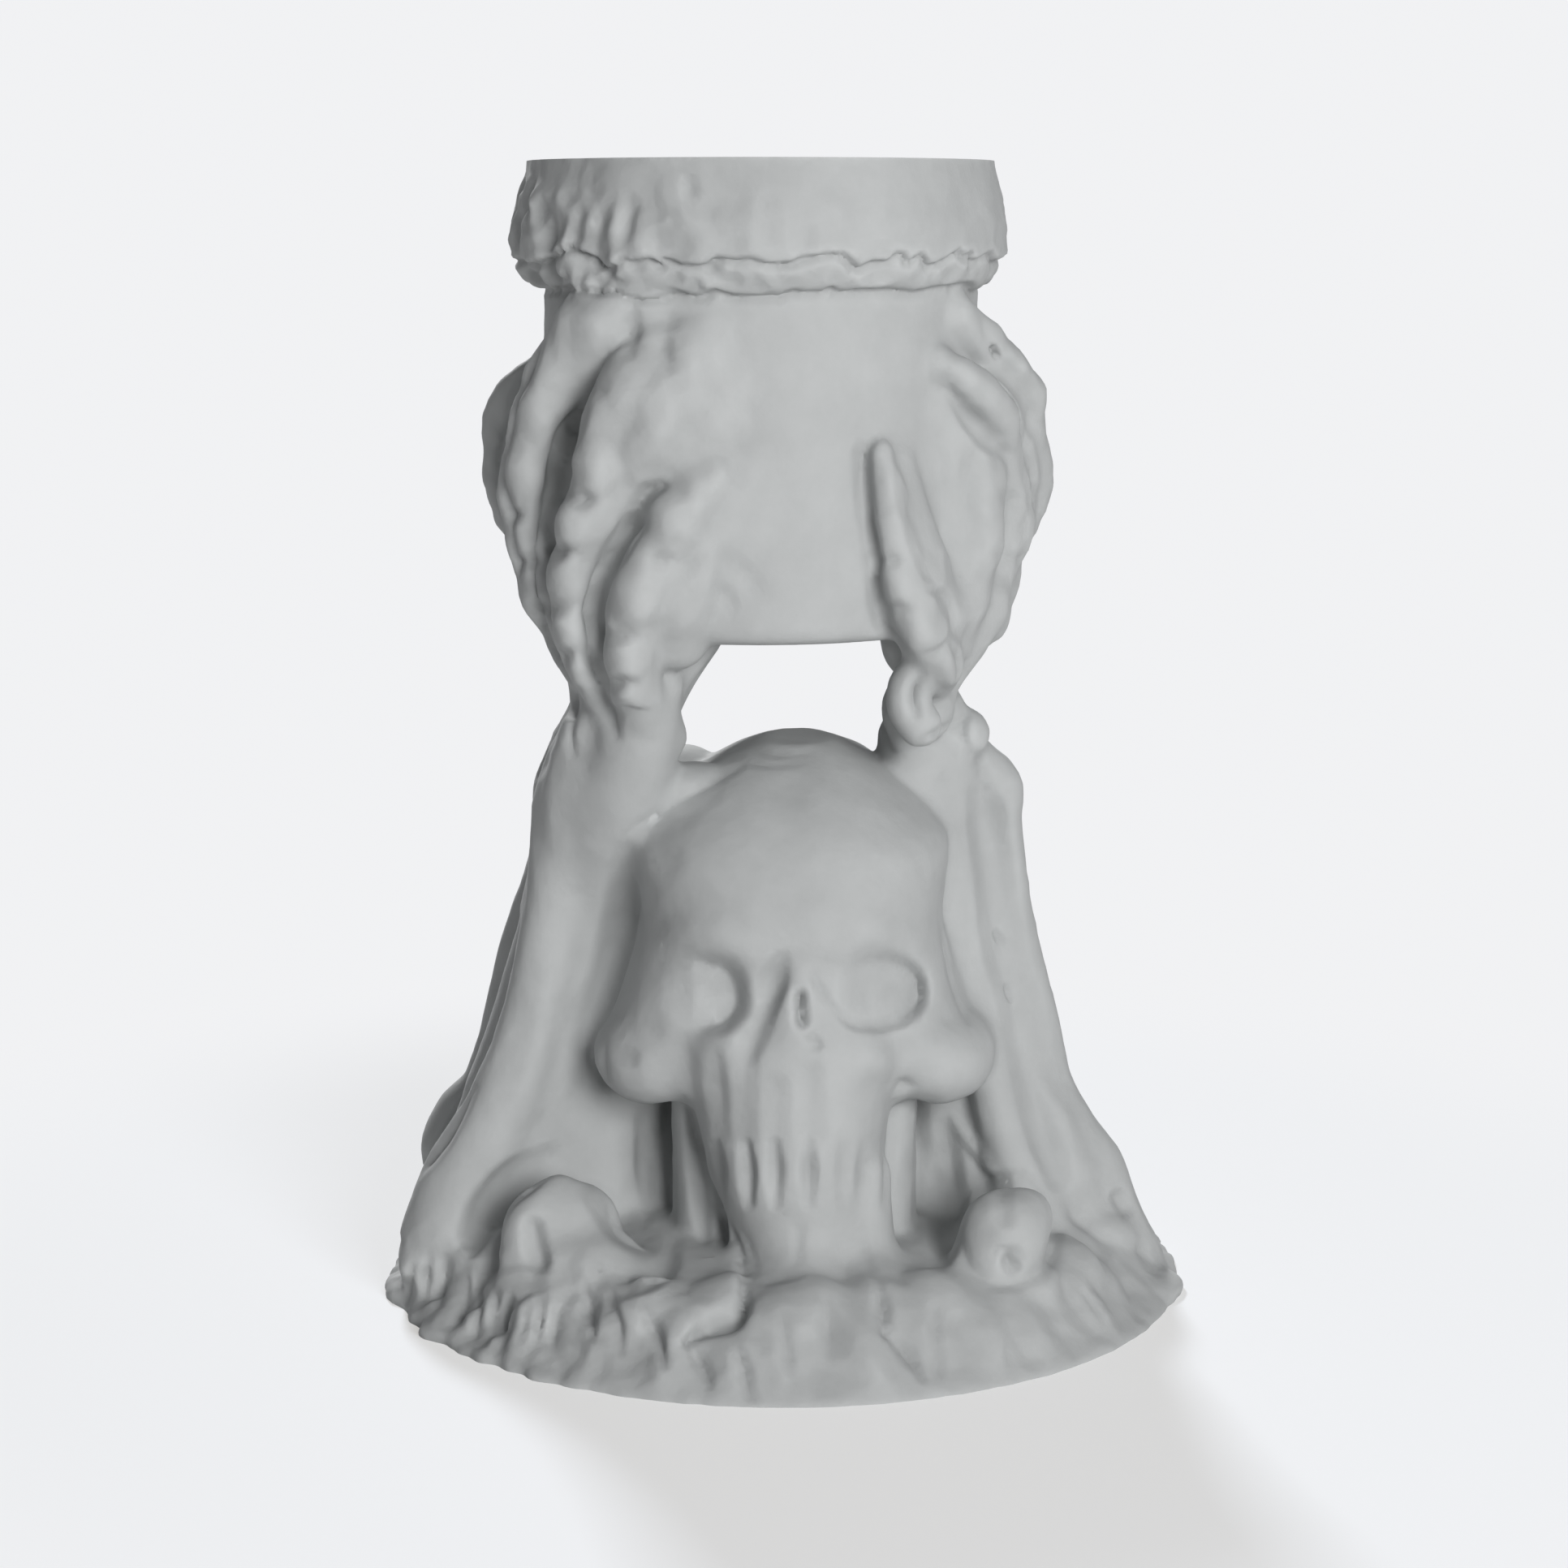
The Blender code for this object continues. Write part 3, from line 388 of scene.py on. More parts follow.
def lay_arms(clay):
    """Two long bones to a side, from the mound's edge to the wrists."""
    reach = MOUND_RADIUS - FOOT_INSET
    left_wrist = Vector((CUP_X - LEFT_WRIST_REACH, CUP_Y, CUP_BOTTOM - WRIST_DROP))
    right_wrist = Vector((CUP_X + RIGHT_WRIST_REACH, CUP_Y, CUP_BOTTOM - WRIST_DROP))
    left_foot = Vector((-reach, 0, FOOT_HEIGHT))
    right_foot = Vector((reach, 0, FOOT_HEIGHT))

    def left_bone(*rows):
        clay.limb(left_foot, left_wrist, *rows)

    def right_bone(*rows):
        clay.limb(right_foot, right_wrist, *rows)

    # left arm: front bone, rear bone
    left_bone(
        (-0.03, 2.2, -15.5, 6.4), (0.03, 1.6, -15, 6.4), (0.122, 1.4, -14, 6), (0.247, 3.2, -12.8, 5.2),
        (0.395, 3.7, -11.3, 4.5), (0.532, 3, -9.6, 4.6), (0.684, 1.6, -8.2, 4.8), (0.823, -0.5, -7.6, 5.2),
        (0.9, -0.2, -8, 5.6), (0.98, 1.2, -9, 6),
    )
    left_bone(
        (-0.03, 2.4, 5, 5), (0.03, 0.8, 7, 5), (0.093, -1.6, 8.5, 5), (0.158, -1.4, 10, 4.5),
        (0.226, 0.8, 10, 4), (0.493, -0.6, 10, 3.8), (0.697, -0.5, 9.2, 3.9), (0.828, -2.5, 8, 4.2),
        (0.9, -1.8, 6.5, 4.4), (0.94, -1, 5, 4),
    )
    # right arm: outer bone, inner bone
    right_bone(
        (-0.08, -3.6, -5, 6.4), (0.02, -3.4, -4.5, 5.8), (0.106, -2.6, -4.5, 5.2), (0.168, -3.6, -4.5, 4.5),
        (0.264, -4, -4, 3.8), (0.392, -2.7, -3.4, 3.6), (0.585, -1, -3, 3.5), (0.779, 1.9, -2.6, 3.6),
        (0.86, 3.8, -2.5, 3.8), (0.905, 2, -2.5, 3.4),
    )
    right_bone(
        (-0.05, -13, -15, 5.6), (0.06, -12.4, -14, 4.6), (0.178, -12, -12, 3.6), (0.282, -11.4, -10.4, 3.4),
        (0.434, -9.2, -8.4, 3.2), (0.586, -7, -6.6, 3.2), (0.81, -3.6, -5.4, 3.4), (0.92, -1.5, -6, 3.8),
    )
    # the arms' inner sides, sloping back towards the skull
    left_bone(
        (0.04, 6.5, -11.5, 6.5), (0.25, 8, -8.5, 5.4), (0.5, 7.2, -6.8, 5), (0.8, 4.6, -5.5, 5),
        (0.95, 6, -6, 5),
    )
    left_bone((0.04, 12, -7.5, 7.5), (0.25, 13, -4.6, 6.4), (0.5, 12.4, -3.2, 5.8), (0.8, 9, -2.5, 5.6))
    left_bone((0.04, 18, -6, 8), (0.25, 19, -2, 7), (0.5, 17, -0.6, 6.4))
    right_bone((0.36, -13.4, -5.5, 6), (0.55, -10, -5, 6.4), (0.8, -6, -4.4, 6), (0.95, -5, -4, 5))
    right_bone((0.1, -7.5, -8, 6), (0.3, -8, -6.4, 5.2), (0.6, -5, -4.6, 4.6), (0.85, -1.2, -3.4, 4.2))
    # webs between the bones, and between each arm and the skull
    left_bone((0, 3, -2, 7), (0.2, 4.4, 0, 7), (0.5, 3.6, 1, 6), (0.82, 2, 0, 5.5), (0.95, 3, -2, 5))
    left_bone((0, 9, -3, 9), (0.2, 10, -2, 8), (0.5, 8, 1, 7.5), (0.8, 4, 0, 7))
    left_bone((0, 18, -4, 9), (0.2, 18, 0, 8), (0.5, 15, 4, 8), (0.82, 9, 2, 7))
    left_bone((0, 27, -2, 9), (0.25, 26, 5, 8), (0.5, 21, 8, 9), (0.82, 14, 5, 7))
    right_bone((0, -9, -6, 8), (0.2, -9.5, -4, 7), (0.5, -6, 0, 6), (0.82, -1.6, 1, 6))
    right_bone((0, -18, -5, 9), (0.2, -17, -2, 8), (0.5, -12, 3, 7.5), (0.8, -6, 1, 7))
    right_bone((0, -26, -2, 9), (0.25, -25, 4, 8), (0.5, -19, 7, 9), (0.8, -11, 5, 7))


def lay_wrists(clay):
    # left: the heel of the hand narrows to the wrist, with a second bone behind
    clay.bone_by(
        by_wrist, (-21.5, -8, -19, 7), (-19.4, -9.5, -13.5, 6.4), (-18.8, -11, -8.5, 6.4),
        (-18.5, -13, -2, 7.4), (-17, -14, 4, 8.4),
    )
    clay.bone_by(
        by_wrist, (-16, -10, -19, 4), (-14.8, -11, -12, 3.8), (-12.6, -12, -6, 4), (-9, -13.5, 0.5, 4.4),
    )
    clay.bone_by(by_wrist, (-24.5, 6, -18, 4.6), (-22.5, 5, -11, 3.4), (-21.5, 2, -5, 4.2), (-21, 0, 3, 6))
    # right: a stack of small wrist bones
    clay.bone_by(by_wrist, (20, -6, -20, 5), (23, -6, -16, 4.2), (23.5, -6, -11, 3.6))
    clay.bone_by(
        by_wrist, (21.4, -11, -11, 3.8), (22.2, -11, -6, 3.8), (22, -11, 0, 4.6), (21.4, -12, 5, 5.6),
    )
    clay.bone_by(by_wrist, (19, -9, -14.5, 2), (17.8, -9.5, -10.6, 2.3), (19.2, -9, -7, 2.2))
    clay.lump(by_wrist(26.8, -6, -14.4), (3.7, 4.2, 3.7))
    clay.bone_by(by_wrist, (25, 2, -22, 5.4), (22.6, 1, -15, 4.2), (21.5, 1, -7, 3.8), (21.5, 1, 3, 6))
    # the heel of the left hand, below its front finger
    clay.bone_by(
        by_wrist, (-9, -19.6, 4.4, 4.4), (-13.2, -17.8, -3, 4.4), (-15.6, -14.6, -10.5, 5),
        (-17.6, -11, -17, 5.6),
    )
    # flesh that carries the left wrist into its shoulder, and the ring of bone inside the right one
    clay.bone_by(
        in_view, (802, 845, -21, 4.2), (790, 892, -19.5, 5), (780, 935, -17, 5.8), (766, 985, -13, 6.8),
        (744, 1040, -8, 7), (726, 1120, -3.5, 7),
    )
    clay.bone_by(in_view, (864, 778, -17, 3), (818, 838, -17, 3.4), (788, 885, -17, 3.8), (778, 930, -15, 5))
    clay.bone_by(
        in_view, (722, 900, -15, 3.6), (722, 950, -12.5, 5.4), (712, 1030, -9, 5.6), (694, 1120, -4.5, 6),
    )
    clay.bone_by(
        in_view, (1132, 826, -19.5, 2.6), (1121, 846, -19, 3), (1120, 870, -19, 3), (1134, 894, -19, 3),
    )
    # shoulders where the wrists meet the skull
    clay.bone_by(by_wrist, (-21, -8.5, -22.5, 6.4), (-15, -11, -23, 6), (-9, -13, -23.5, 6.6))
    clay.bone_by(by_wrist, (-18, -5, -24, 6), (-8, -4, -24.5, 6))
    clay.bone_by(by_wrist, (24, -4, -22, 5.5), (18, -7, -25.5, 5.6), (12, -7, -25, 6))


def lay_hands(clay):
    """Five digits to a hand, round the cup."""
    # left hand: four fingers from the front round to the side, and the thumb behind
    clay.digit(
        (-36, -13, -7.5, 3.2), (-32.5, -9, -1.6, 3.4), (-31.5, -4, 2.2, 3.5), (-30, 1, 3.4, 3.7),
        (-28.5, 5.5, 3.8, 3.8), (-24.5, 10.5, 3.4, 3.6), (-19, 15.5, 3.2, 3.7), (-14, 20, 1.8, 3.3),
        (-9, 23.5, -0.3, 2.6),
    )
    clay.digit(
        (-45, -9.5, -2.6, 3.5), (-45.5, -4, 0.6, 3.6), (-47, 1, 3, 3.5), (-46, 6.5, 4.2, 3.4),
        (-42.5, 13, 4.6, 3.8), (-38, 19.5, 4.4, 4), (-35, 25, 4.2, 4.4), (-31, 31, 2.2, 5.2),
        (-27, 36, -1.6, 5),
    )
    clay.digit(
        (-54, -8, -3.8, 3.5), (-59, 0.5, 0.8, 3.6), (-62, 7, 3.2, 3.8), (-63, 13, 4.4, 3.9),
        (-63, 19, 5, 3.9), (-59, 25.5, 4.8, 4), (-55, 31.5, 4, 4.2), (-50, 37, 2.4, 4.2), (-45, 42, 0.4, 4),
    )
    clay.digit(
        (-80, -4, -7, 4.2), (-96, 6, -1.5, 4), (-98, 14, 3.8, 4), (-95, 20, 5.2, 3.8), (-92, 26, 5.4, 3.7),
        (-88, 30.5, 2.6, 3.2), (-84, 34.5, -1.2, 2.6),
    )
    clay.digit(
        (-95, -6, -9, 4.2), (-122, 0, -1, 4.2), (-136, 9, 3, 3.8), (-146, 19, 4, 3.6), (-152, 28, 2, 3),
        (-155, 33, -0.5, 2.6),
    )
    # right hand: the thumb in front, and four fingers from the side round to the back
    clay.digit(
        (64, -7, -4, 3.4), (52, -3, 0, 3.7), (43, 1.5, 1.8, 3.7), (39, 4.5, 2.2, 3.4), (36.5, 8, 2.2, 3.1),
        (34.5, 12, 2, 3), (33, 16, 1.8, 2.7), (32, 20, 1.4, 2.3), (31, 24, 0.8, 1.9),
    )
    clay.digit(
        (66, -5, -3, 3.8), (76, 2, 1, 3.8), (84, 8, 2.8, 3.4), (84, 14, 4, 3.8), (80, 21, 3.4, 3.5),
        (72, 27, 2.6, 3.3), (60, 32, 1.4, 3), (52, 35, 0, 2.4),
    )
    clay.digit(
        (80, -5, -4.5, 3.8), (90, 3, 1.7, 3.8), (94, 10, 3.4, 3.6), (96, 17, 6.8, 3.9), (93, 24, 6.4, 3.6),
        (88, 30.5, 5.2, 3.6), (76, 36, 2, 3.2), (62, 41, -0.8, 3),
    )
    clay.digit(
        (98, -6, -5, 3.8), (110, 3, -1, 4), (119, 11, 3.5, 3.7), (119, 19, 5, 3.9), (114, 27, 3.5, 3.5),
        (106, 34, 0.5, 3),
    )
    clay.digit(
        (108, -4.5, -4.5, 3.8), (130, 2, -1, 3.9), (142, 9, 3, 3.6), (146, 17, 4, 3.8), (146, 25, 2.5, 3.3),
        (142, 32, -0.5, 2.8),
    )
    # flesh that fades from the fingers into the cup
    clay.digit(
        (-24, 1, -2.2, 4.4), (-23, 5.5, -0.8, 5.2), (-18.5, 10.5, -0.9, 5.4), (-13, 15, -1.6, 5.2),
        (-7, 19.5, -2.6, 4.8), (-1, 24, -3.8, 4.4),
    )
    clay.digit((-18, 7.5, -5.2, 6.2), (-12, 11, -5, 6.8), (-6, 15, -5.6, 7), (0, 19, -6.3, 7))
    clay.digit(
        (-34, 20, 0.2, 5.4), (-29, 25, 0.8, 6), (-24, 30, -0.2, 6.4), (-18, 35, -2.8, 6.4), (-14, 39, -5, 6),
    )
    clay.digit((-27, 19, -2.8, 6.4), (-21, 24, -3, 7), (-15, 29, -4.4, 7.2), (-9, 34, -6.2, 7))
    clay.digit((-54, 34, 0.8, 5), (-46, 38, 0.2, 5.2), (-38, 42, -2, 5.4), (-30, 43, -3.8, 5.4))
    clay.digit((37, 22, -2.8, 4.4), (40, 15, -2, 5), (45, 8.5, -1.2, 5.4), (54, 3, -1.6, 5.6))
    clay.digit(
        (60, -1, -3.6, 6), (66, 8, -2, 6.6), (68, 16, -1.4, 6.8), (65, 23, -2, 6.4), (57, 29, -3.6, 5.8),
    )
    clay.digit(
        (86, 2, -1.2, 6), (90, 10, 0.6, 6.2), (91, 17, 2, 6.6), (87, 24.5, 1.6, 6), (79, 31, -0.6, 5.4),
    )
    # palms: skin between the fingers and the cup
    palms = (
        (-36, 12, 14), (-44, 10, 16), (-60, 14, 18), (-76, 20, 20), (-92, 20, 20), (-114, 16, 14),
        (68, 16, 14), (82, 20, 20), (96, 20, 20), (112, 16, 14),
    )
    for angle, up, high in palms:
        clay.lump(around_cup(angle, up, -5), (8, 8, high))


def lay_mound_pieces(clay):
    """A broken bone at the left, a knuckle end at the right, and folds of rock down the mound's side."""
    clay.lump(around_mound(-50, 18, 11), (6.5, 7.5, 8.6), (20, 15, -20))
    clay.lump(around_mound(-45, 12.5, 8), (6, 4, 6), (0, 30, -30))
    clay.lump(around_mound(-38, 16, 9.5), (6, 5.5, 4.5), (0, 25, -30))
    clay.bone_by(in_view, (660, 1562, -28, 4.8), (661, 1505, -27, 4.4), (688, 1474, -25, 3.2))
    clay.bone_by(in_view, (700, 1500, -26, 3.6), (748, 1546, -27, 3.8), (806, 1574, -29, 2.8))
    clay.bone_by(around_mound, (44, 13.5, 14, 6), (41, 14.5, 8, 5.6))
    clay.lump(in_view(1218, 1532, -29.5), (3.6, 3.4, 4))
    clay.lump(in_view(1264, 1500, -28.5), (3.8, 3.8, 4.2))
    for angle in (-77, -58, 77):
        clay.lump(around_mound(angle, 5.4, 0.6), (8, 6.4, 2.4), (0, 0, angle))
    for i in range(MOUND_FOLDS):
        angle = 360 * i / MOUND_FOLDS + 4 * math.sin(7 * i)
        smooth = 0.5 + 0.5 * math.cos(math.radians(angle - 35))
        wide = 2.7 + 0.8 * math.sin(5 * i) + 1.2 * smooth
        proud = 0.6 + 0.3 * math.sin(3 * i + 1) - 0.6 * smooth
        inset = 6.9 + 0.8 * math.sin(4 * i) + abs(math.sin(math.radians(angle))) ** 4
        clay.lump(around_mound(angle, inset, 4 + proud), (wide, 7.4, 3), (42, 0, angle + 8 * math.sin(2 * i)))
        inset = 12.5 + 2 * math.sin(3 * i)
        turn = (22, 0, angle + 25 * math.sin(i))
        clay.lump(around_mound(angle + 5, inset, 8 + proud), (wide + 1.4, 5.6, 2.8), turn)


def build_clay(voxel):
    clay = Clay()
    lay_cup(clay)
    lay_mound(clay)
    lay_skull(clay)
    lay_arms(clay)
    lay_wrists(clay)
    lay_hands(clay)
    lay_mound_pieces(clay)
    return clay.remeshed(voxel)


def array_of(items, field, width, kind=float):
    values = np.empty(len(items) * width, kind)
    items.foreach_get(field, values)
    return values.reshape(-1, width)


def even(width, depth, *path):
    """Rows of one stroke along x, y, x, y and so on, full in the middle and thinner at both ends."""
    points = list(zip(path[::2], path[1::2]))
    rows = []
    for i, point in enumerate(points):
        end = len(points) > 2 and i in (0, len(points) - 1)
        rows.append((*point, width * (0.7 if end else 1.0), depth * (0.4 if end else 1.0)))
    return rows


class Skin:
    """The merged mesh's points, carved, raised and smoothed."""

    def __init__(self, mesh):
        self.mesh = mesh
        self.points = array_of(mesh.vertices, "co", 3)
        self.edges = array_of(mesh.edges, "vertices", 2, int)
        self.count = np.bincount(self.edges.ravel(), minlength=len(self.points))

    def store(self):
        self.mesh.vertices.foreach_set("co", self.points.ravel())
        self.mesh.update()

    def normals(self):
        self.store()
        return array_of(self.mesh.vertices, "normal", 3)

    def spread(self, values):
        """The average of each point's neighbours."""
        total = np.bincount(self.edges[:, 0], values[self.edges[:, 1]], len(values))
        total += np.bincount(self.edges[:, 1], values[self.edges[:, 0]], len(values))
        return total / self.count

    def relax(self, share, rounds):
        """Moves each point towards the middle of its neighbours by its own share."""
        for _ in range(rounds):
            moved = np.column_stack([self.spread(self.points[:, axis]) for axis in range(3)])
            self.points += np.broadcast_to(share, len(moved))[:, None] * (moved - self.points)

    def even_normals(self, rounds=3):
        """Normals of the broad form, so that strokes that cross don't fold the skin."""
        normals = self.normals()
        for _ in range(rounds):
            normals = np.column_stack([self.spread(normals[:, axis]) for axis in range(3)])
        return normals / np.linalg.norm(normals, axis=1)[:, None]

    def stroke(self, places, rows, kind):
        """The points near a stroke of (u, v, width, depth) rows, and how deep each is pressed."""
        path = smooth_path(rows)
        wide = path[:, 2].max()
        low, high = path[:, :2].min(0) - wide, path[:, :2].max(0) + wide
        near = np.flatnonzero(((places > low) & (places < high)).all(1))
        local = places[near]
        nearest = np.ones(len(near))
        pressed = np.zeros(len(near))
        for start, end in zip(path, path[1:]):
            along = end[:2] - start[:2]
            reach = local - start[:2]
            share = np.clip(reach @ along / max(along @ along, 1e-9), 0, 1)
            width, depth = start[2:, None] + np.outer(end - start, share)[2:]
            gap = np.hypot(*(reach - np.outer(share, along)).T) / width
            closer = gap < nearest
            effect = np.maximum(0, 1 - gap)
            if kind == "round":
                effect = np.maximum(0, 1 - gap**2) ** 2
            elif kind == "crease":
                effect = effect**1.6
            else:
                side = np.sign(along[0] * reach[:, 1] - along[1] * reach[:, 0])
                effect = side * effect**1.5
            nearest = np.where(closer, gap, nearest)
            pressed = np.where(closer, depth * effect, pressed)
        return near, pressed

    def press(self, places, facing, strokes, kind):
        for rows in strokes:
            near, pressed = self.stroke(places, rows, kind)
            self.points[near] -= self.directions[near] * (pressed * facing[near] * MM)[:, None]

    def in_picture(self, straight):
        """Where each point shows in the camera's picture, in pixels, and how squarely it faces the camera."""
        away = self.points - np.array(CAMERA_PLACE)
        tilt, scale = CAMERA_TILT, PICTURE / 2 / math.tan(CAMERA_ANGLE / 2)
        ahead = away[:, 1] * math.cos(tilt) - away[:, 2] * math.sin(tilt)
        up = away[:, 1] * math.sin(tilt) + away[:, 2] * math.cos(tilt)
        places = PICTURE / 2 + scale * np.column_stack([away[:, 0], -up]) / ahead[:, None]
        normals = self.even_normals()
        toward = -away / np.linalg.norm(away, axis=1)[:, None]
        self.directions = toward if straight else normals
        return places, (normals * toward).sum(1)

    def carve_front(self, strokes, kind="round", behind=12.0, straight=False):
        """Presses what the camera sees, in front of a depth in mm, with strokes in its picture's pixels.

        A stroke is a row of width, depth in mm (below 0 to raise) and x, y, x, y, or a list of its own rows.
        """
        places, square = self.in_picture(straight)
        seen = np.clip(4 * square, 0, 1) * (self.points[:, 1] < behind * MM)
        self.press(places, seen, [even(*rows) if isinstance(rows, tuple) else rows for rows in strokes], kind)

    def carve_cup(self, strokes, kind="round"):
        """Presses cup, rim and fingers, by strokes in degrees round the cup and mm above its bottom."""
        out = self.points[:, :2] - np.array([CUP_X, CUP_Y])
        reach = np.hypot(*out.T)
        arc = CUP_RADIUS * math.radians(1) / MM
        angle = np.degrees(np.arctan2(out[:, 0], -out[:, 1]))
        places = np.column_stack([angle * arc, (self.points[:, 2] - CUP_BOTTOM) / MM])
        self.directions = self.even_normals()
        facing = np.clip(4 * (self.directions[:, :2] * out).sum(1) / reach, 0, 1) * (reach > BORE_RADIUS)
        self.press(places, facing, [[(u * arc, *rest) for u, *rest in rows] for rows in strokes], kind)

    def roughen(self, amount, size, seed, stretch=(1, 1, 1)):
        """Swells and sinks each point by up to its own amount in mm, in a pattern of this size in mm."""
        normals = self.even_normals()
        scaled = self.points / (np.array(stretch) * size * MM) + seed
        for i in np.flatnonzero(np.abs(amount) > 0.01):
            self.points[i] += normals[i] * noise.noise(scaled[i]) * amount[i] * MM


def between(values, low, high):
    """0 below low, 1 above high, and an even slope between them."""
    t = np.clip((values - low) / (high - low), 0, 1)
    return t * t * (3 - 2 * t)


def carve_hands(skin):
    # clefts between the fingers
    skin.carve_front([
        (20, 1.7, 815, 598, 797, 610, 785, 630, 776, 652, 760, 678, 744, 702, 732, 728, 726, 757, 729, 790,
         728, 822, 738, 855, 748, 884, 758, 905),
        (22, 1.8, 716, 506, 700, 534, 689, 562, 682, 600, 674, 630, 662, 654, 658, 684, 656, 714, 661, 750,
         664, 784, 676, 815, 692, 842, 704, 872),
        (14, 1, 664, 428, 650, 455, 638, 485, 630, 515, 620, 548, 615, 586, 624, 622, 630, 655, 632, 690,
         644, 730),
        (16, 1.4, 1074, 542, 1063, 558, 1063, 592, 1067, 630, 1073, 668, 1078, 706, 1081, 744, 1092, 778,
         1110, 796), (10, 0.3, 1101, 546, 1107, 580, 1109, 618, 1120, 649, 1128, 680, 1142, 710, 1150, 733),
        (12, 0.8, 1146, 728, 1160, 731, 1173, 748, 1178, 775, 1167, 797, 1146, 806),
        (18, 0.5, 1207, 377, 1216, 408, 1228, 436, 1252, 462, 1266, 495, 1268, 520, 1262, 545, 1266, 590,
         1274, 618, 1264, 650, 1264, 690, 1257, 718),
    ], "crease")
    # the smooth palm beside the right finger, and its tip
    skin.carve_front([
        (30, 0.9, 1196, 560, 1192, 620, 1190, 700, 1186, 780),
        (16, 0.9, 1172, 482, 1188, 506, 1212, 540, 1240, 560),
        (34, -1.8, 1184, 456, 1206, 480, 1230, 508, 1244, 536), (30, -0.6, 1232, 590, 1236, 640, 1228, 700),
    ])
    # knuckles that bulge at the fingers' left edges, and the broad bulge of the second
    skin.carve_front([(w, -d, x, y, x + 5, y + 14) for x, y, w, d in (
        (818, 630, 34, 1), (780, 728, 38, 1.1), (766, 806, 30, 0.9), (772, 854, 20, 0.6),
        (728, 570, 34, 0.9), (700, 640, 32, 1), (694, 708, 32, 0.9), (698, 768, 26, 0.8),
        (716, 824, 24, 0.7), (656, 500, 32, 0.8), (644, 575, 32, 0.8), (652, 652, 28, 0.8),
        (658, 712, 24, 0.7), (1096, 640, 22, 0.5), (1106, 712, 26, 0.6), (1132, 766, 28, 0.7),
        (1168, 820, 20, 0.6), (800, 510, 60, 1), (735, 395, 38, 0.6), (850, 740, 50, 0.5),
    )])
    # notches between those bulges
    skin.carve_front([(w, d, x - 18, y - 4, x - 4, y, x + 12, y) for x, y, w, d in (
        (816, 691, 19, 1.2), (768, 783, 17, 1.1), (768, 844, 17, 1.1), (780, 878, 15, 0.9),
        (720, 617, 18, 1.2), (694, 680, 17, 1), (688, 750, 16, 0.8), (702, 808, 16, 0.8),
        (642, 634, 15, 0.8), (648, 692, 15, 0.8), (1100, 690, 13, 0.5), (1110, 750, 14, 0.5),
        (1254, 616, 16, 0.7), (1248, 688, 16, 0.7),
    )] + [(6, 1.6, 1224, 430, 1229, 440)], "crease")
    # wrists
    skin.carve_front([
        (13, 1, 673, 924, 668, 940, 659, 957), (12, 1, 1172, 792, 1185, 812, 1186, 838, 1174, 858),
        (15, 0.8, 1134, 912, 1160, 902, 1190, 882), (13, 1, 1190, 880, 1186, 902, 1193, 926),
        (18, 2, 1134, 836, 1128, 856, 1130, 880), (14, 1, 712, 850, 704, 880, 700, 905, 706, 930),
    ], "crease")
    # soft wrinkles on the cup
    skin.carve_front([
        (20, 0.4, 862, 436, 882, 478, 908, 522), (17, 0.35, 900, 470, 912, 495, 927, 512),
        (19, 0.35, 880, 540, 898, 566, 917, 592), (17, 0.4, 893, 678, 915, 702, 941, 732),
        (15, 0.4, 884, 720, 894, 736, 906, 752), (20, 0.35, 820, 420, 838, 470, 846, 500),
        (17, 0.7, 780, 374, 778, 405, 776, 435), (14, 0.4, 817, 425, 821, 453),
    ])


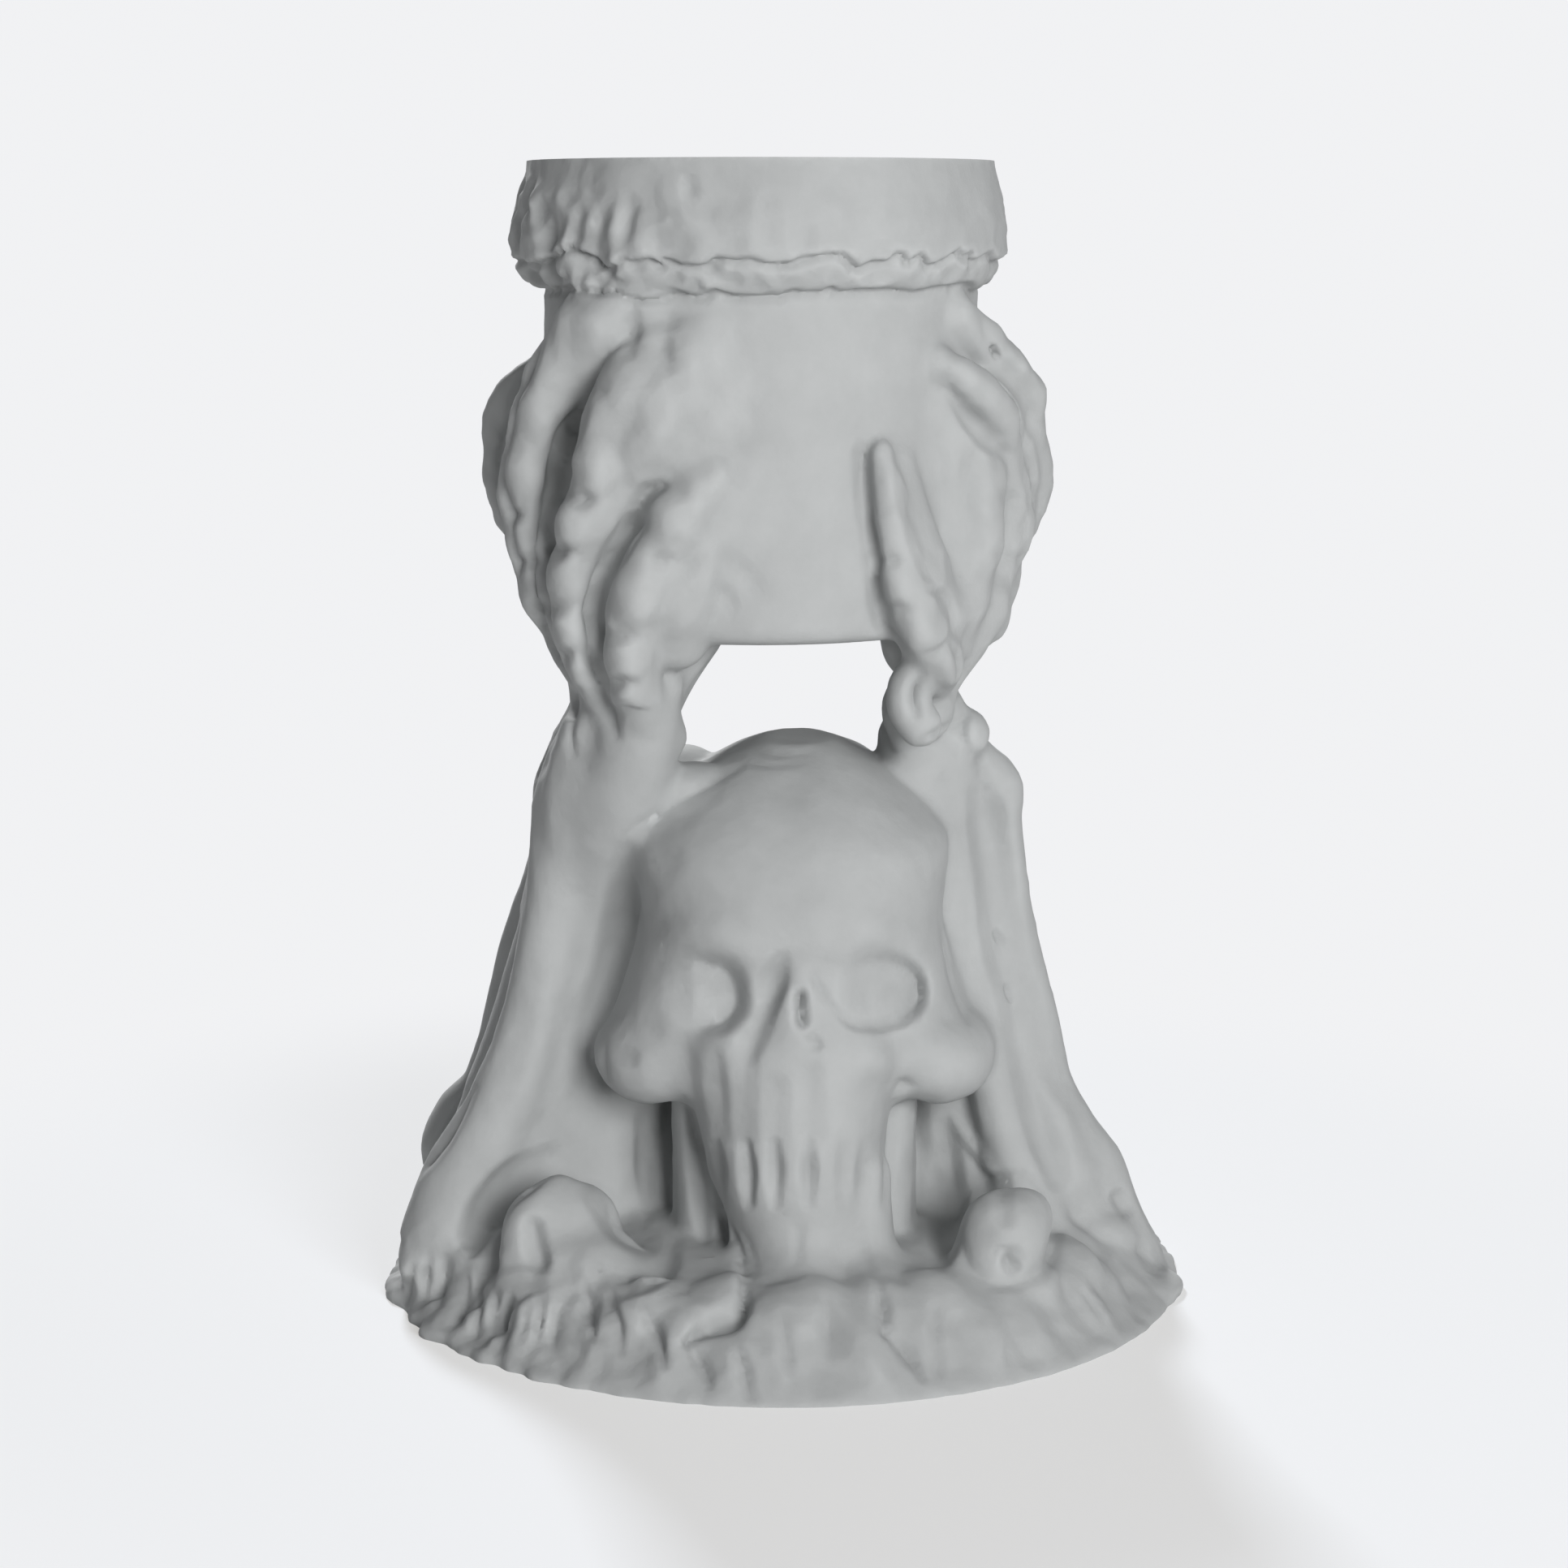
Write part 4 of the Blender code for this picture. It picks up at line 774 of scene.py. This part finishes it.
def carve_skull(skin):
    # brow and cheeks stand out
    skin.carve_front([
        (32, -0.7, 818, 1165, 850, 1150, 890, 1155, 935, 1180),
        (30, -0.5, 1040, 1172, 1080, 1148, 1125, 1160), (28, -0.5, 1065, 1290, 1085, 1310, 1120, 1310),
    ], behind=-5)
    # sockets, nose and the hollows beside the jaws
    skin.carve_front([
        (26, 1.5, 962, 1186, 950, 1212, 938, 1240, 928, 1272, 924, 1302), (12, 2.2, 986, 1228, 989, 1257),
        (30, 1, 770, 1050, 765, 1100, 760, 1150, 748, 1200, 732, 1245, 716, 1290),
        (28, 1.4, 1163, 1390, 1167, 1450, 1166, 1500, 1160, 1550),
        (17, 1.3, 850, 1372, 857, 1420, 864, 1480, 868, 1525), (16, 1, 790, 1378, 795, 1440, 800, 1495),
        (30, 0.4, 812, 1052, 822, 1060), (18, 0.5, 766, 1298, 774, 1303), (24, 0.5, 998, 1325, 1000, 1395),
        (24, 0.5, 915, 1300, 916, 1400), (20, 0.7, 882, 1300, 884, 1345, 890, 1400),
        (22, 0.3, 958, 1340, 957, 1405),
    ], behind=6)
    skin.carve_front([
        (56, 1.1, 866, 1224, 878, 1224), (64, -1.3, 792, 1186, 784, 1236, 800, 1284),
        (40, 2.2, 876, 1200, 892, 1220, 892, 1238, 878, 1252), (62, 1.6, 1086, 1222, 1094, 1222),
        (36, 2.2, 1098, 1198, 1112, 1214, 1112, 1230, 1098, 1244),
    ], behind=6, straight=True)
    skin.carve_front([
        [(836, 1186, 10, 0.2), (862, 1184, 18, 1.1), (892, 1194, 22, 1.7), (907, 1214, 22, 2.1), (908, 1238,
         22, 2.1), (894, 1258, 20, 1.6), (868, 1266, 14, 0.8), (846, 1262, 10, 0.1)],
        [(1060, 1188, 10, 0.2), (1092, 1184, 18, 1.2), (1118, 1194, 22, 2.2), (1130, 1212, 23, 2.8), (1128,
         1236, 22, 2.6), (1112, 1252, 18, 1.6), (1084, 1260, 13, 0.9), (1044, 1256, 10, 0.2)],
    ], "crease", behind=8, straight=True)
    skin.carve_front([
        (10, 0.6, 1116, 1261, 1091, 1266, 1056, 1264, 1039, 1254, 1022, 1236, 1008, 1214, 997, 1198),
        (8, 0.7, 993, 1274, 1004, 1279, 1009, 1288, 998, 1294),
        (14, 0.6, 768, 1031, 800, 1010, 838, 986, 876, 964, 914, 943),
        (10, 0.6, 1171, 1030, 1172, 1061, 1165, 1103, 1164, 1138, 1168, 1175, 1178, 1221, 1192, 1258),
        (14, 1, 1104, 1344, 1114, 1337, 1124, 1340), (11, 0.6, 745, 1272, 742, 1304, 745, 1330, 756, 1348),
        (11, 0.8, 841, 1353, 849, 1376, 858, 1408, 870, 1424),
        (13, 0.8, 1100, 1350, 1097, 1394, 1095, 1440, 1090, 1486), (12, 0.35, 930, 924, 960, 930, 1000, 926),
        (12, 0.35, 905, 936, 950, 942, 990, 938),
    ], "crease", behind=8)
    # teeth, then the soft folds of the chin
    skin.carve_front([(wide, deep, x - lean, 1410, x, 1442, x + lean, 1484) for x, lean, wide, deep in (
        (884, 3, 14, 1.2), (920, 2, 15, 1.5), (955, 1, 15, 1.4), (997, 0, 15, 1.3), (1038, -1, 13, 0.5),
        (1064, -2, 13, 0.5),
    )], behind=-5)
    skin.carve_front([
        (15, 1, 876, 1486, 890, 1508, 905, 1532, 915, 1562, 917, 1590, 908, 1616, 879, 1627, 848, 1650),
        (12, 0.5, 902, 1500, 925, 1545, 932, 1600), (12, 0.4, 985, 1515, 983, 1550),
        (14, 0.4, 1060, 1505, 1066, 1550, 1082, 1580),
    ], "crease")


def carve_arms(skin):
    skin.carve_front([
        (32, 1.8, 1209, 980, 1219, 1013, 1226, 1068, 1233, 1138, 1240, 1186, 1255, 1228, 1268, 1304, 1289,
         1387, 1304, 1450), (34, 0.5, 650, 1200, 636, 1280, 620, 1350), (8, 0.7, 1238, 1150, 1242, 1158),
        (8, 0.7, 1251, 1218, 1255, 1228),
    ])
    skin.carve_front([
        (14, 1, 583, 1340, 556, 1390, 531, 1425, 508, 1452), (12, 0.6, 1204, 930, 1212, 955, 1208, 985),
    ], "crease")


def carve_mound(skin):
    # the recesses beside the broken bone and the knuckle end, and the wedge of rock above it
    skin.carve_front([
        (30, 1.8, 676, 1424, 645, 1446, 612, 1472, 590, 1508, 576, 1552),
        (20, 1, 772, 1590, 800, 1576, 822, 1558, 830, 1530), (14, 1.5, 1242, 1554, 1248, 1562),
        (16, 1.2, 1380, 1476, 1388, 1488), (20, 1.5, 656, 1512, 662, 1552),
        (15, -0.8, 1176, 1380, 1198, 1408, 1222, 1444), (30, 1.2, 730, 1470, 770, 1510, 815, 1540),
        (18, 0.5, 1234, 1460, 1238, 1500),
    ])
    skin.carve_front([
        (15, 0.55, 1180, 1500, 1186, 1480, 1199, 1462, 1230, 1450, 1268, 1452, 1292, 1476, 1302, 1508, 1296,
         1545, 1280, 1570, 1240, 1582, 1212, 1576, 1190, 1555, 1182, 1519),
        (8, 0.6, 1222, 1552, 1232, 1540, 1252, 1542, 1261, 1556),
    ], "crease")
    # folds down the front slope, strong at the left and faint at the right
    skin.carve_front([(w, d, x, y, x + 0.6 * lean, y + 0.5 * long, x + lean, y + long)
        for x, y, lean, long, w, d in (
        (508, 1560, -8, 44, 12, 1), (528, 1548, -6, 52, 12, 1.1), (549, 1550, -8, 56, 13, 1.2),
        (575, 1574, -7, 54, 14, 1.3), (592, 1576, -8, 70, 14, 1.3), (612, 1592, -6, 50, 12, 1),
        (629, 1600, -12, 62, 15, 1.3), (650, 1608, -10, 44, 12, 0.9), (669, 1600, -8, 48, 15, 1.3),
        (688, 1612, -8, 46, 13, 1.1), (720, 1582, 10, 66, 15, 1.2), (751, 1592, 14, 74, 15, 1.1),
        (792, 1606, 26, 76, 17, 1.2), (848, 1652, 26, 54, 17, 1.2), (908, 1662, 14, 58, 20, 1.1),
        (962, 1620, 14, 74, 22, 0.9), (1020, 1600, 2, 66, 22, 0.9), (1084, 1582, 8, 60, 17, 1.5),
        (1093, 1640, 44, 58, 16, 1.4), (1152, 1612, 4, 80, 20, 0.7), (1244, 1640, 2, 54, 20, 0.7),
        (1322, 1574, 42, 60, 20, 0.8), (1376, 1560, 28, 60, 18, 0.8),
    )] + [
        (15, 1.2, 919, 1584, 915, 1612, 902, 1632, 866, 1640, 844, 1656),
    ], "crease")


def hem(base, places):
    """(degrees, mm up) right round the rim: seen places in picture pixels, and a like line behind them."""
    front = sorted(cup_place(x, y, (SKIRT_RADIUS - CUP_RADIUS) / MM) for x, y in places)
    first, last = front[0][0], front[-1][0]
    turns = np.linspace(last + 7, first + 353, 24)
    behind = [(turn, base + 0.5 * math.sin(0.31 * turn) + 0.35 * math.sin(0.9 * turn)) for turn in turns]
    ahead = [(turn, up) for turn, up in behind if turn <= 180]
    return [(turn - 360, up) for turn, up in behind if turn > 180] + front + ahead


def carve_rim(skin):
    """The crust's two ragged hems, and the drips on its left."""
    for line, wide, deep in ((hem(47.9, SKIRT_HEM), 1.6, 0.5), (hem(44.1, BAND_HEM), 1.3, 0.42)):
        skin.carve_cup([[(turn, up, wide, -deep) for turn, up in line]], "lip")
        skin.carve_cup([[(turn, up - 0.2, 1, 1.4 * deep) for turn, up in line]], "crease")
    skin.carve_front([
        (17, 0.6, 748, 249, 738, 268, 734, 288), (22, 0.4, 722, 276, 706, 290, 700, 306),
        (26, 0.5, 672, 262, 684, 284), (16, 0.5, 776, 262, 770, 286, 764, 304),
        (18, 0.4, 828, 256, 827, 268, 823, 280), (20, 0.25, 948, 252, 948, 288),
        (20, 0.25, 1052, 252, 1052, 290), (18, 0.3, 993, 288, 993, 312),
        (15, 0.5, 690, 354, 702, 366, 714, 374), (14, 0.3, 848, 224, 850, 232),
        (20, -0.6, 662, 296, 664, 312), (22, -0.5, 716, 322, 730, 336), (26, -0.4, 762, 296, 790, 304),
        (18, -0.5, 648, 226, 650, 250), (24, -0.4, 850, 270, 870, 300), (22, -0.3, 920, 290, 930, 306),
    ])


def surface(skin):
    """The casting's uneven skin: crust on the rim, lumps on the hands, rock on the mound."""
    x, y, z = (skin.points / MM).T
    angle = np.degrees(np.arctan2(x - CUP_X / MM, -y))
    reach = np.hypot(x - CUP_X / MM, y)
    front = between(np.cos(np.radians(angle - 38)), 0.1, 0.95)
    rim = between(z, 132, 135) * (1 - 0.7 * between(z, 144, 149)) * between(reach, 27.5, 28.5)
    hands = between(z, 72, 84) * (1 - between(z, 130, 134)) * between(reach, 30, 32)
    cup = between(z, 90, 96) * (1 - between(z, 130, 134)) * (1 - between(reach, 28.8, 30.4))
    left = between(-angle, -20, 25)
    mound = 1 - between(z, 9, 15)
    out = between(np.hypot(x, y / MOUND_DEPTH_SHARE), 34, 44)
    rough = 1 - 0.8 * between(np.cos(np.radians(np.degrees(np.arctan2(x, -y)) - 35)), 0.2, 0.9)
    body = between(z, 14, 20) * (1 - between(z, 74, 84))
    skin.roughen(rim * (1.5 - 1.4 * front), 3.6, 3.1, (1, 1, 1.9))
    crumbs = rim * (0.55 - 0.42 * front + 0.3 * between(-z, -138, -136))
    skin.roughen(crumbs + 0.2 * hands + 0.12 * cup * left + 0.08 * body, 1.9, 9.7)
    skin.roughen(0.7 * hands + 0.3 * cup * left + 0.22 * body, 5.2, 5.3)
    skin.roughen(mound * out * rough * 0.8, 3.4, 1.7, (1, 1, 2.2))
    skin.roughen(mound * (0.1 + 0.25 * out * rough), 1.9, 7.9)


def sculpted_mesh(voxel):
    """The casting's form before it is cut to its flat faces and bored."""
    mesh = build_clay(voxel)
    skin = Skin(mesh)
    skin.relax(0.5, FIRST_SOFTENING)
    low, high = skin.points[:, 2] > MOUND_CROWN, skin.points[:, 2] < CUP_BOTTOM - 16 * MM
    aside = np.abs(skin.points[:, 0] - SKULL_X) > SKULL_HALF_WIDTH - 2 * MM
    skin.relax(0.5 * (low & high & aside), ARM_SOFTENING)
    x, y, z = (skin.points / MM).T
    skin.relax(0.5 * ((z < 17) & (y < -27) & (np.abs(x) < 27)), SLOPE_SOFTENING)
    skin.relax(0.5 * ((z > 62) & (z < 82) & (y < -12) & (x < -8) & (x > -30)), WRIST_SOFTENING)
    surface(skin)
    carve_rim(skin)
    carve_hands(skin)
    carve_skull(skin)
    carve_arms(skin)
    carve_mound(skin)
    skin.relax(0.35, 2)
    for axis in (0, 1):  # the folds keep to the mound's outline
        low, high = CAD_BOX[0][axis] + 0.05 * MM, CAD_BOX[1][axis] - 0.05 * MM
        skin.points[:, axis] = np.clip(skin.points[:, axis], low, high)
    skin.store()
    return mesh


def cutter(name, adder, matrix):
    """A closed cutter."""
    data = bpy.data.meshes.new(name)
    bm = bmesh.new()
    adder(bm, matrix)
    bm.to_mesh(data)
    bm.free()
    obj = bpy.data.objects.new(name, data)
    bpy.context.scene.collection.objects.link(obj)
    return obj


def cut_casting(casting):
    """Cuts the casting flat at the rim and below, and bores it for the candle."""
    def block(bm, matrix):
        bmesh.ops.create_cube(bm, size=1, matrix=matrix)

    def drum(bm, matrix):
        bmesh.ops.create_cone(
            bm, cap_ends=True, segments=256, radius1=BORE_RADIUS, radius2=BORE_RADIUS, depth=1, matrix=matrix,
        )

    wide, deep = 0.16, 0.02
    size = Matrix.Diagonal((wide, wide, deep, 1))
    long = BORE_DEPTH + deep
    middle = Matrix.Translation((CUP_X, CUP_Y, HEIGHT - BORE_DEPTH + long / 2))
    place = middle @ Matrix.Diagonal((1, 1, long, 1))
    tools = [
        cutter("ground_cut", block, Matrix.Translation((0, 0, -deep / 2)) @ size),
        cutter("rim_cut", block, Matrix.Translation((0, 0, HEIGHT + deep / 2)) @ size),
        cutter("candle_bore", drum, place),
    ]
    for tool in tools:
        cut = casting.modifiers.new(tool.name, "BOOLEAN")
        cut.operation = "DIFFERENCE"
        cut.solver = "EXACT"
        cut.object = tool
    finished = evaluated_mesh(casting)
    for tool in tools:
        bpy.data.objects.remove(tool)
    casting.modifiers.clear()
    casting.data = finished


def link(tree, source, output, target, entry):
    tree.links.new(source.outputs[output], target.inputs[entry])


def node(tree, kind, **values):
    made = tree.nodes.new(kind)
    for key, value in values.items():
        if key in made.inputs:
            made.inputs[key].default_value = value
        else:
            setattr(made, key, value)
    return made


def remap(tree, low, high, to_low=0.0, to_high=1.0, **values):
    """A node that carries low to high over to another pair of values."""
    ends = {"From Min": low, "From Max": high, "To Min": to_low, "To Max": to_high}
    return node(tree, "ShaderNodeMapRange", **ends, **values)


def resin_material(settings):
    """Matt cast resin: faint mottling, painted shade darkening the hollows and painted light brightening the
    edges, fine grain.
    """
    material = bpy.data.materials.new("grey_resin")
    material.use_nodes = True
    tree = material.node_tree
    shader = tree.nodes["Principled BSDF"]
    shader.inputs["Specular IOR Level"].default_value = 0.35
    place = node(tree, "ShaderNodeTexCoord")
    mottle = node(tree, "ShaderNodeTexNoise", Scale=90.0, Detail=4.0, Roughness=0.6)
    link(tree, place, "Object", mottle, "Vector")
    tone = node(tree, "ShaderNodeValToRGB")
    tone.color_ramp.elements[0].position = 0.3
    tone.color_ramp.elements[1].position = 0.72
    tone.color_ramp.elements[0].color = (*[v * 0.92 for v in settings.colour[:3]], 1)
    tone.color_ramp.elements[1].color = (*[min(1.0, v * 1.07) for v in settings.colour[:3]], 1)
    link(tree, mottle, "Fac", tone, "Fac")
    # Pointiness scales the colour: painted shade in hollows and creases, painted light on edges, not a tone
    # the resin has.
    shape = node(tree, "ShaderNodeNewGeometry")
    cavity_shade = remap(tree, 0.40, 0.56, 0.72, 1.08)
    link(tree, shape, "Pointiness", cavity_shade, "Value")
    shade = node(tree, "ShaderNodeMix", data_type="RGBA", blend_type="MULTIPLY")
    shade.inputs["Factor"].default_value = 1.0
    link(tree, tone, "Color", shade, "A")
    link(tree, cavity_shade, "Result", shade, "B")
    tree.links.new(shade.outputs[2], shader.inputs["Base Color"])
    grain = node(tree, "ShaderNodeTexNoise", Scale=900.0, Detail=5.0, Roughness=0.62)
    link(tree, place, "Object", grain, "Vector")
    pits = node(tree, "ShaderNodeTexNoise", Scale=260.0, Detail=3.0, Roughness=0.5)
    link(tree, place, "Object", pits, "Vector")
    rough = remap(tree, 0.3, 0.7, settings.roughness - 0.08, settings.roughness + 0.08)
    link(tree, mottle, "Fac", rough, "Value")
    link(tree, rough, "Result", shader, "Roughness")
    fine = node(tree, "ShaderNodeBump", Strength=0.25, Distance=0.00012)
    link(tree, grain, "Fac", fine, "Height")
    broad = node(tree, "ShaderNodeBump", Strength=0.35, Distance=0.0004)
    link(tree, pits, "Fac", broad, "Height")
    link(tree, fine, "Normal", broad, "Normal")
    link(tree, broad, "Normal", shader, "Normal")
    return material


def seen_directly(tree):
    """A node that is 1 for what the camera, a reflection or a clear surface sees, and 0 otherwise."""
    path = node(tree, "ShaderNodeLightPath")
    first = node(tree, "ShaderNodeMath", operation="ADD")
    link(tree, path, "Is Camera Ray", first, 0)
    link(tree, path, "Is Glossy Ray", first, 1)
    seen = node(tree, "ShaderNodeMath", operation="ADD", use_clamp=True)
    link(tree, first, 0, seen, 0)
    link(tree, path, "Is Transmission Ray", seen, 1)
    return seen


def floor_material(settings):
    """Matt and pale where it lights the object; to the eye an even backdrop with the object's shadow."""
    material = bpy.data.materials.new("pale_floor")
    material.use_nodes = True
    tree = material.node_tree
    matt = tree.nodes["Principled BSDF"]
    matt.inputs["Base Color"].default_value = (*settings.floor, 1)
    matt.inputs["Roughness"].default_value = 0.9
    matt.inputs["Specular IOR Level"].default_value = 0.1
    shaded = node(tree, "ShaderNodeBsdfDiffuse", Color=(*settings.shadow, 1))
    glow = node(tree, "ShaderNodeEmission", Color=(*settings.glow, 1))
    near = node(tree, "ShaderNodeAddShader")
    link(tree, shaded, 0, near, 0)
    link(tree, glow, 0, near, 1)
    far = node(tree, "ShaderNodeEmission", Color=(*settings.backdrop, 1))
    place = node(tree, "ShaderNodeTexCoord")
    reach = node(tree, "ShaderNodeVectorMath", operation="LENGTH")
    link(tree, place, "Object", reach, 0)
    fade = remap(tree, FLOOR_FADE[0], FLOOR_FADE[1], interpolation_type="SMOOTHSTEP")
    link(tree, reach, "Value", fade, "Value")
    even_out = node(tree, "ShaderNodeMixShader")
    link(tree, fade, "Result", even_out, 0)
    link(tree, near, 0, even_out, 1)
    link(tree, far, 0, even_out, 2)
    choose = node(tree, "ShaderNodeMixShader")
    link(tree, seen_directly(tree), 0, choose, 0)
    link(tree, matt, 0, choose, 1)
    link(tree, even_out, 0, choose, 2)
    link(tree, choose, 0, tree.nodes["Material Output"], "Surface")
    return material


class CastingSettings(bpy.types.PropertyGroup):
    voxel: bpy.props.FloatProperty(
        name="Clay Grain", description="Size of the clay's grain when its forms are merged",
        default=0.00048, min=0.0003, max=0.003, subtype="DISTANCE", unit="LENGTH", precision=5,
    )
    triangles: bpy.props.IntProperty(
        name="Triangles", description="About how many triangles the casting keeps",
        default=190000, min=20000, max=198000,
    )
    colour: bpy.props.FloatVectorProperty(
        name="Resin Colour", description="Colour of the cast resin",
        default=(0.44, 0.45, 0.45), subtype="COLOR", size=3, min=0.0, max=1.0,
    )
    roughness: bpy.props.FloatProperty(
        name="Roughness", description="How matt the resin is",
        default=0.72, min=0.1, max=0.9, subtype="FACTOR",
    )


class StageSettings(bpy.types.PropertyGroup):
    floor: bpy.props.FloatVectorProperty(
        name="Floor Colour", description="Colour of the floor where it lights the object",
        default=(0.62, 0.62, 0.62), subtype="COLOR", size=3, min=0.0, max=1.0,
    )
    backdrop: bpy.props.FloatVectorProperty(
        name="Backdrop Colour", description="Colour that the camera sees behind and below",
        default=(0.88, 0.885, 0.9), subtype="COLOR", size=3, min=0.0, max=1.0,
    )
    shadow: bpy.props.FloatVectorProperty(
        name="Shadow Colour", description="Share of the floor's light that the object's shadow takes away",
        default=(0.41, 0.44, 0.49), subtype="COLOR", size=3, min=0.0, max=1.0,
    )
    glow: bpy.props.FloatVectorProperty(
        name="Floor Glow", description="Colour that the floor keeps in full shadow",
        default=(0.505, 0.49, 0.465), subtype="COLOR", size=3, min=0.0, max=1.0,
    )
    key: bpy.props.FloatProperty(
        name="Key Light", description="Power of the light from the right front",
        default=6.8, min=0.0, unit="POWER",
    )
    rim: bpy.props.FloatProperty(
        name="Rim Light", description="Power of the light behind",
        default=21.5, min=0.0, unit="POWER",
    )
    fill: bpy.props.FloatProperty(
        name="Fill", description="Strength of the light from all round", default=0.1, min=0.0,
    )


class HOLDER_OT_casting(bpy.types.Operator):
    """Sculpt the skeleton candle holder and give it its resin finish"""

    bl_idname = "holder.casting"
    bl_label = "Add Casting"

    def execute(self, context):
        settings = context.scene.holder_casting
        voxel = settings.voxel
        mesh = sculpted_mesh(voxel)
        casting = bpy.data.objects.new("skeleton_casting", mesh)
        context.scene.collection.objects.link(casting)
        mesh.calc_loop_triangles()
        thin = casting.modifiers.new("thin", "DECIMATE")
        thin.ratio = min(1.0, (settings.triangles - 3000) / len(mesh.loop_triangles))
        cut_casting(casting)
        casting.data.materials.clear()
        casting.data.materials.append(resin_material(settings))
        casting.data.set_sharp_from_angle(angle=math.radians(60))
        casting.data.polygons.foreach_set("use_smooth", [True] * len(casting.data.polygons))
        casting.data.update()
        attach(casting, "root")
        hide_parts("candle_holder")
        return {"FINISHED"}


def area_light(name, place, size, power):
    """A square lamp that looks at the object."""
    data = bpy.data.lights.new(name, "AREA")
    data.size = size
    data.energy = power
    lamp = bpy.data.objects.new(name, data)
    bpy.context.scene.collection.objects.link(lamp)
    lamp.location = place
    lamp.rotation_mode = "QUATERNION"
    lamp.rotation_quaternion = (Vector(LAMP_AIM) - Vector(place)).to_track_quat("-Z", "Y")
    return lamp


class HOLDER_OT_stage(bpy.types.Operator):
    """Set up the floor, the lights and the camera"""

    bl_idname = "holder.stage"
    bl_label = "Add Stage"

    def execute(self, context):
        scene, settings = context.scene, context.scene.holder_stage
        bm = bmesh.new()
        bmesh.ops.create_grid(bm, x_segments=1, y_segments=1, size=FLOOR_REACH)
        data = bpy.data.meshes.new("floor")
        bm.to_mesh(data)
        bm.free()
        floor = bpy.data.objects.new("floor", data)
        scene.collection.objects.link(floor)
        floor.data.materials.append(floor_material(settings))
        world = bpy.data.worlds.new("studio")
        scene.world = world
        world.use_nodes = True
        tree = world.node_tree
        soft = tree.nodes["Background"]
        soft.inputs["Color"].default_value = (*WORLD_COLOUR, 1)
        soft.inputs["Strength"].default_value = settings.fill
        pale = node(tree, "ShaderNodeBackground", Color=(*settings.backdrop, 1), Strength=1.0)
        mix = node(tree, "ShaderNodeMixShader")
        link(tree, seen_directly(tree), 0, mix, 0)
        link(tree, soft, 0, mix, 1)
        link(tree, pale, 0, mix, 2)
        link(tree, mix, 0, tree.nodes["World Output"], "Surface")
        area_light("key", KEY_PLACE, KEY_SIZE, settings.key)
        area_light("back", BACK_PLACE, BACK_SIZE, settings.rim)
        data = bpy.data.cameras.new("camera")
        data.sensor_width = 36
        data.angle = CAMERA_ANGLE
        camera = bpy.data.objects.new("camera", data)
        scene.collection.objects.link(camera)
        camera.location = CAMERA_PLACE
        camera.rotation_euler = (math.pi / 2 - CAMERA_TILT, 0, 0)
        scene.camera = camera
        scene.view_settings.view_transform = "Standard"
        return {"FINISHED"}


class HOLDER_PT_panel(bpy.types.Panel):
    """Candle holder tools"""

    bl_idname = "HOLDER_PT_panel"
    bl_label = "Skeleton Candle Holder"
    bl_space_type = "VIEW_3D"
    bl_region_type = "UI"
    bl_category = "Candle Holder"

    def draw(self, context):
        groups = (("holder_casting", "holder.casting"), ("holder_stage", "holder.stage"))
        for name, operator in groups:
            settings = getattr(context.scene, name)
            box = self.layout.box()
            for field in settings.__annotations__:
                box.prop(settings, field)
            box.operator(operator)


CLASSES = (CastingSettings, StageSettings, HOLDER_OT_casting, HOLDER_OT_stage, HOLDER_PT_panel)


def register():
    for cls in CLASSES:
        bpy.utils.register_class(cls)
    bpy.types.Scene.holder_casting = bpy.props.PointerProperty(type=CastingSettings)
    bpy.types.Scene.holder_stage = bpy.props.PointerProperty(type=StageSettings)


def unregister():
    del bpy.types.Scene.holder_stage
    del bpy.types.Scene.holder_casting
    for cls in reversed(CLASSES):
        bpy.utils.unregister_class(cls)


def main():
    register()
    bpy.ops.holder.casting()
    bpy.ops.holder.stage()


if __name__ == "__main__":
    main()
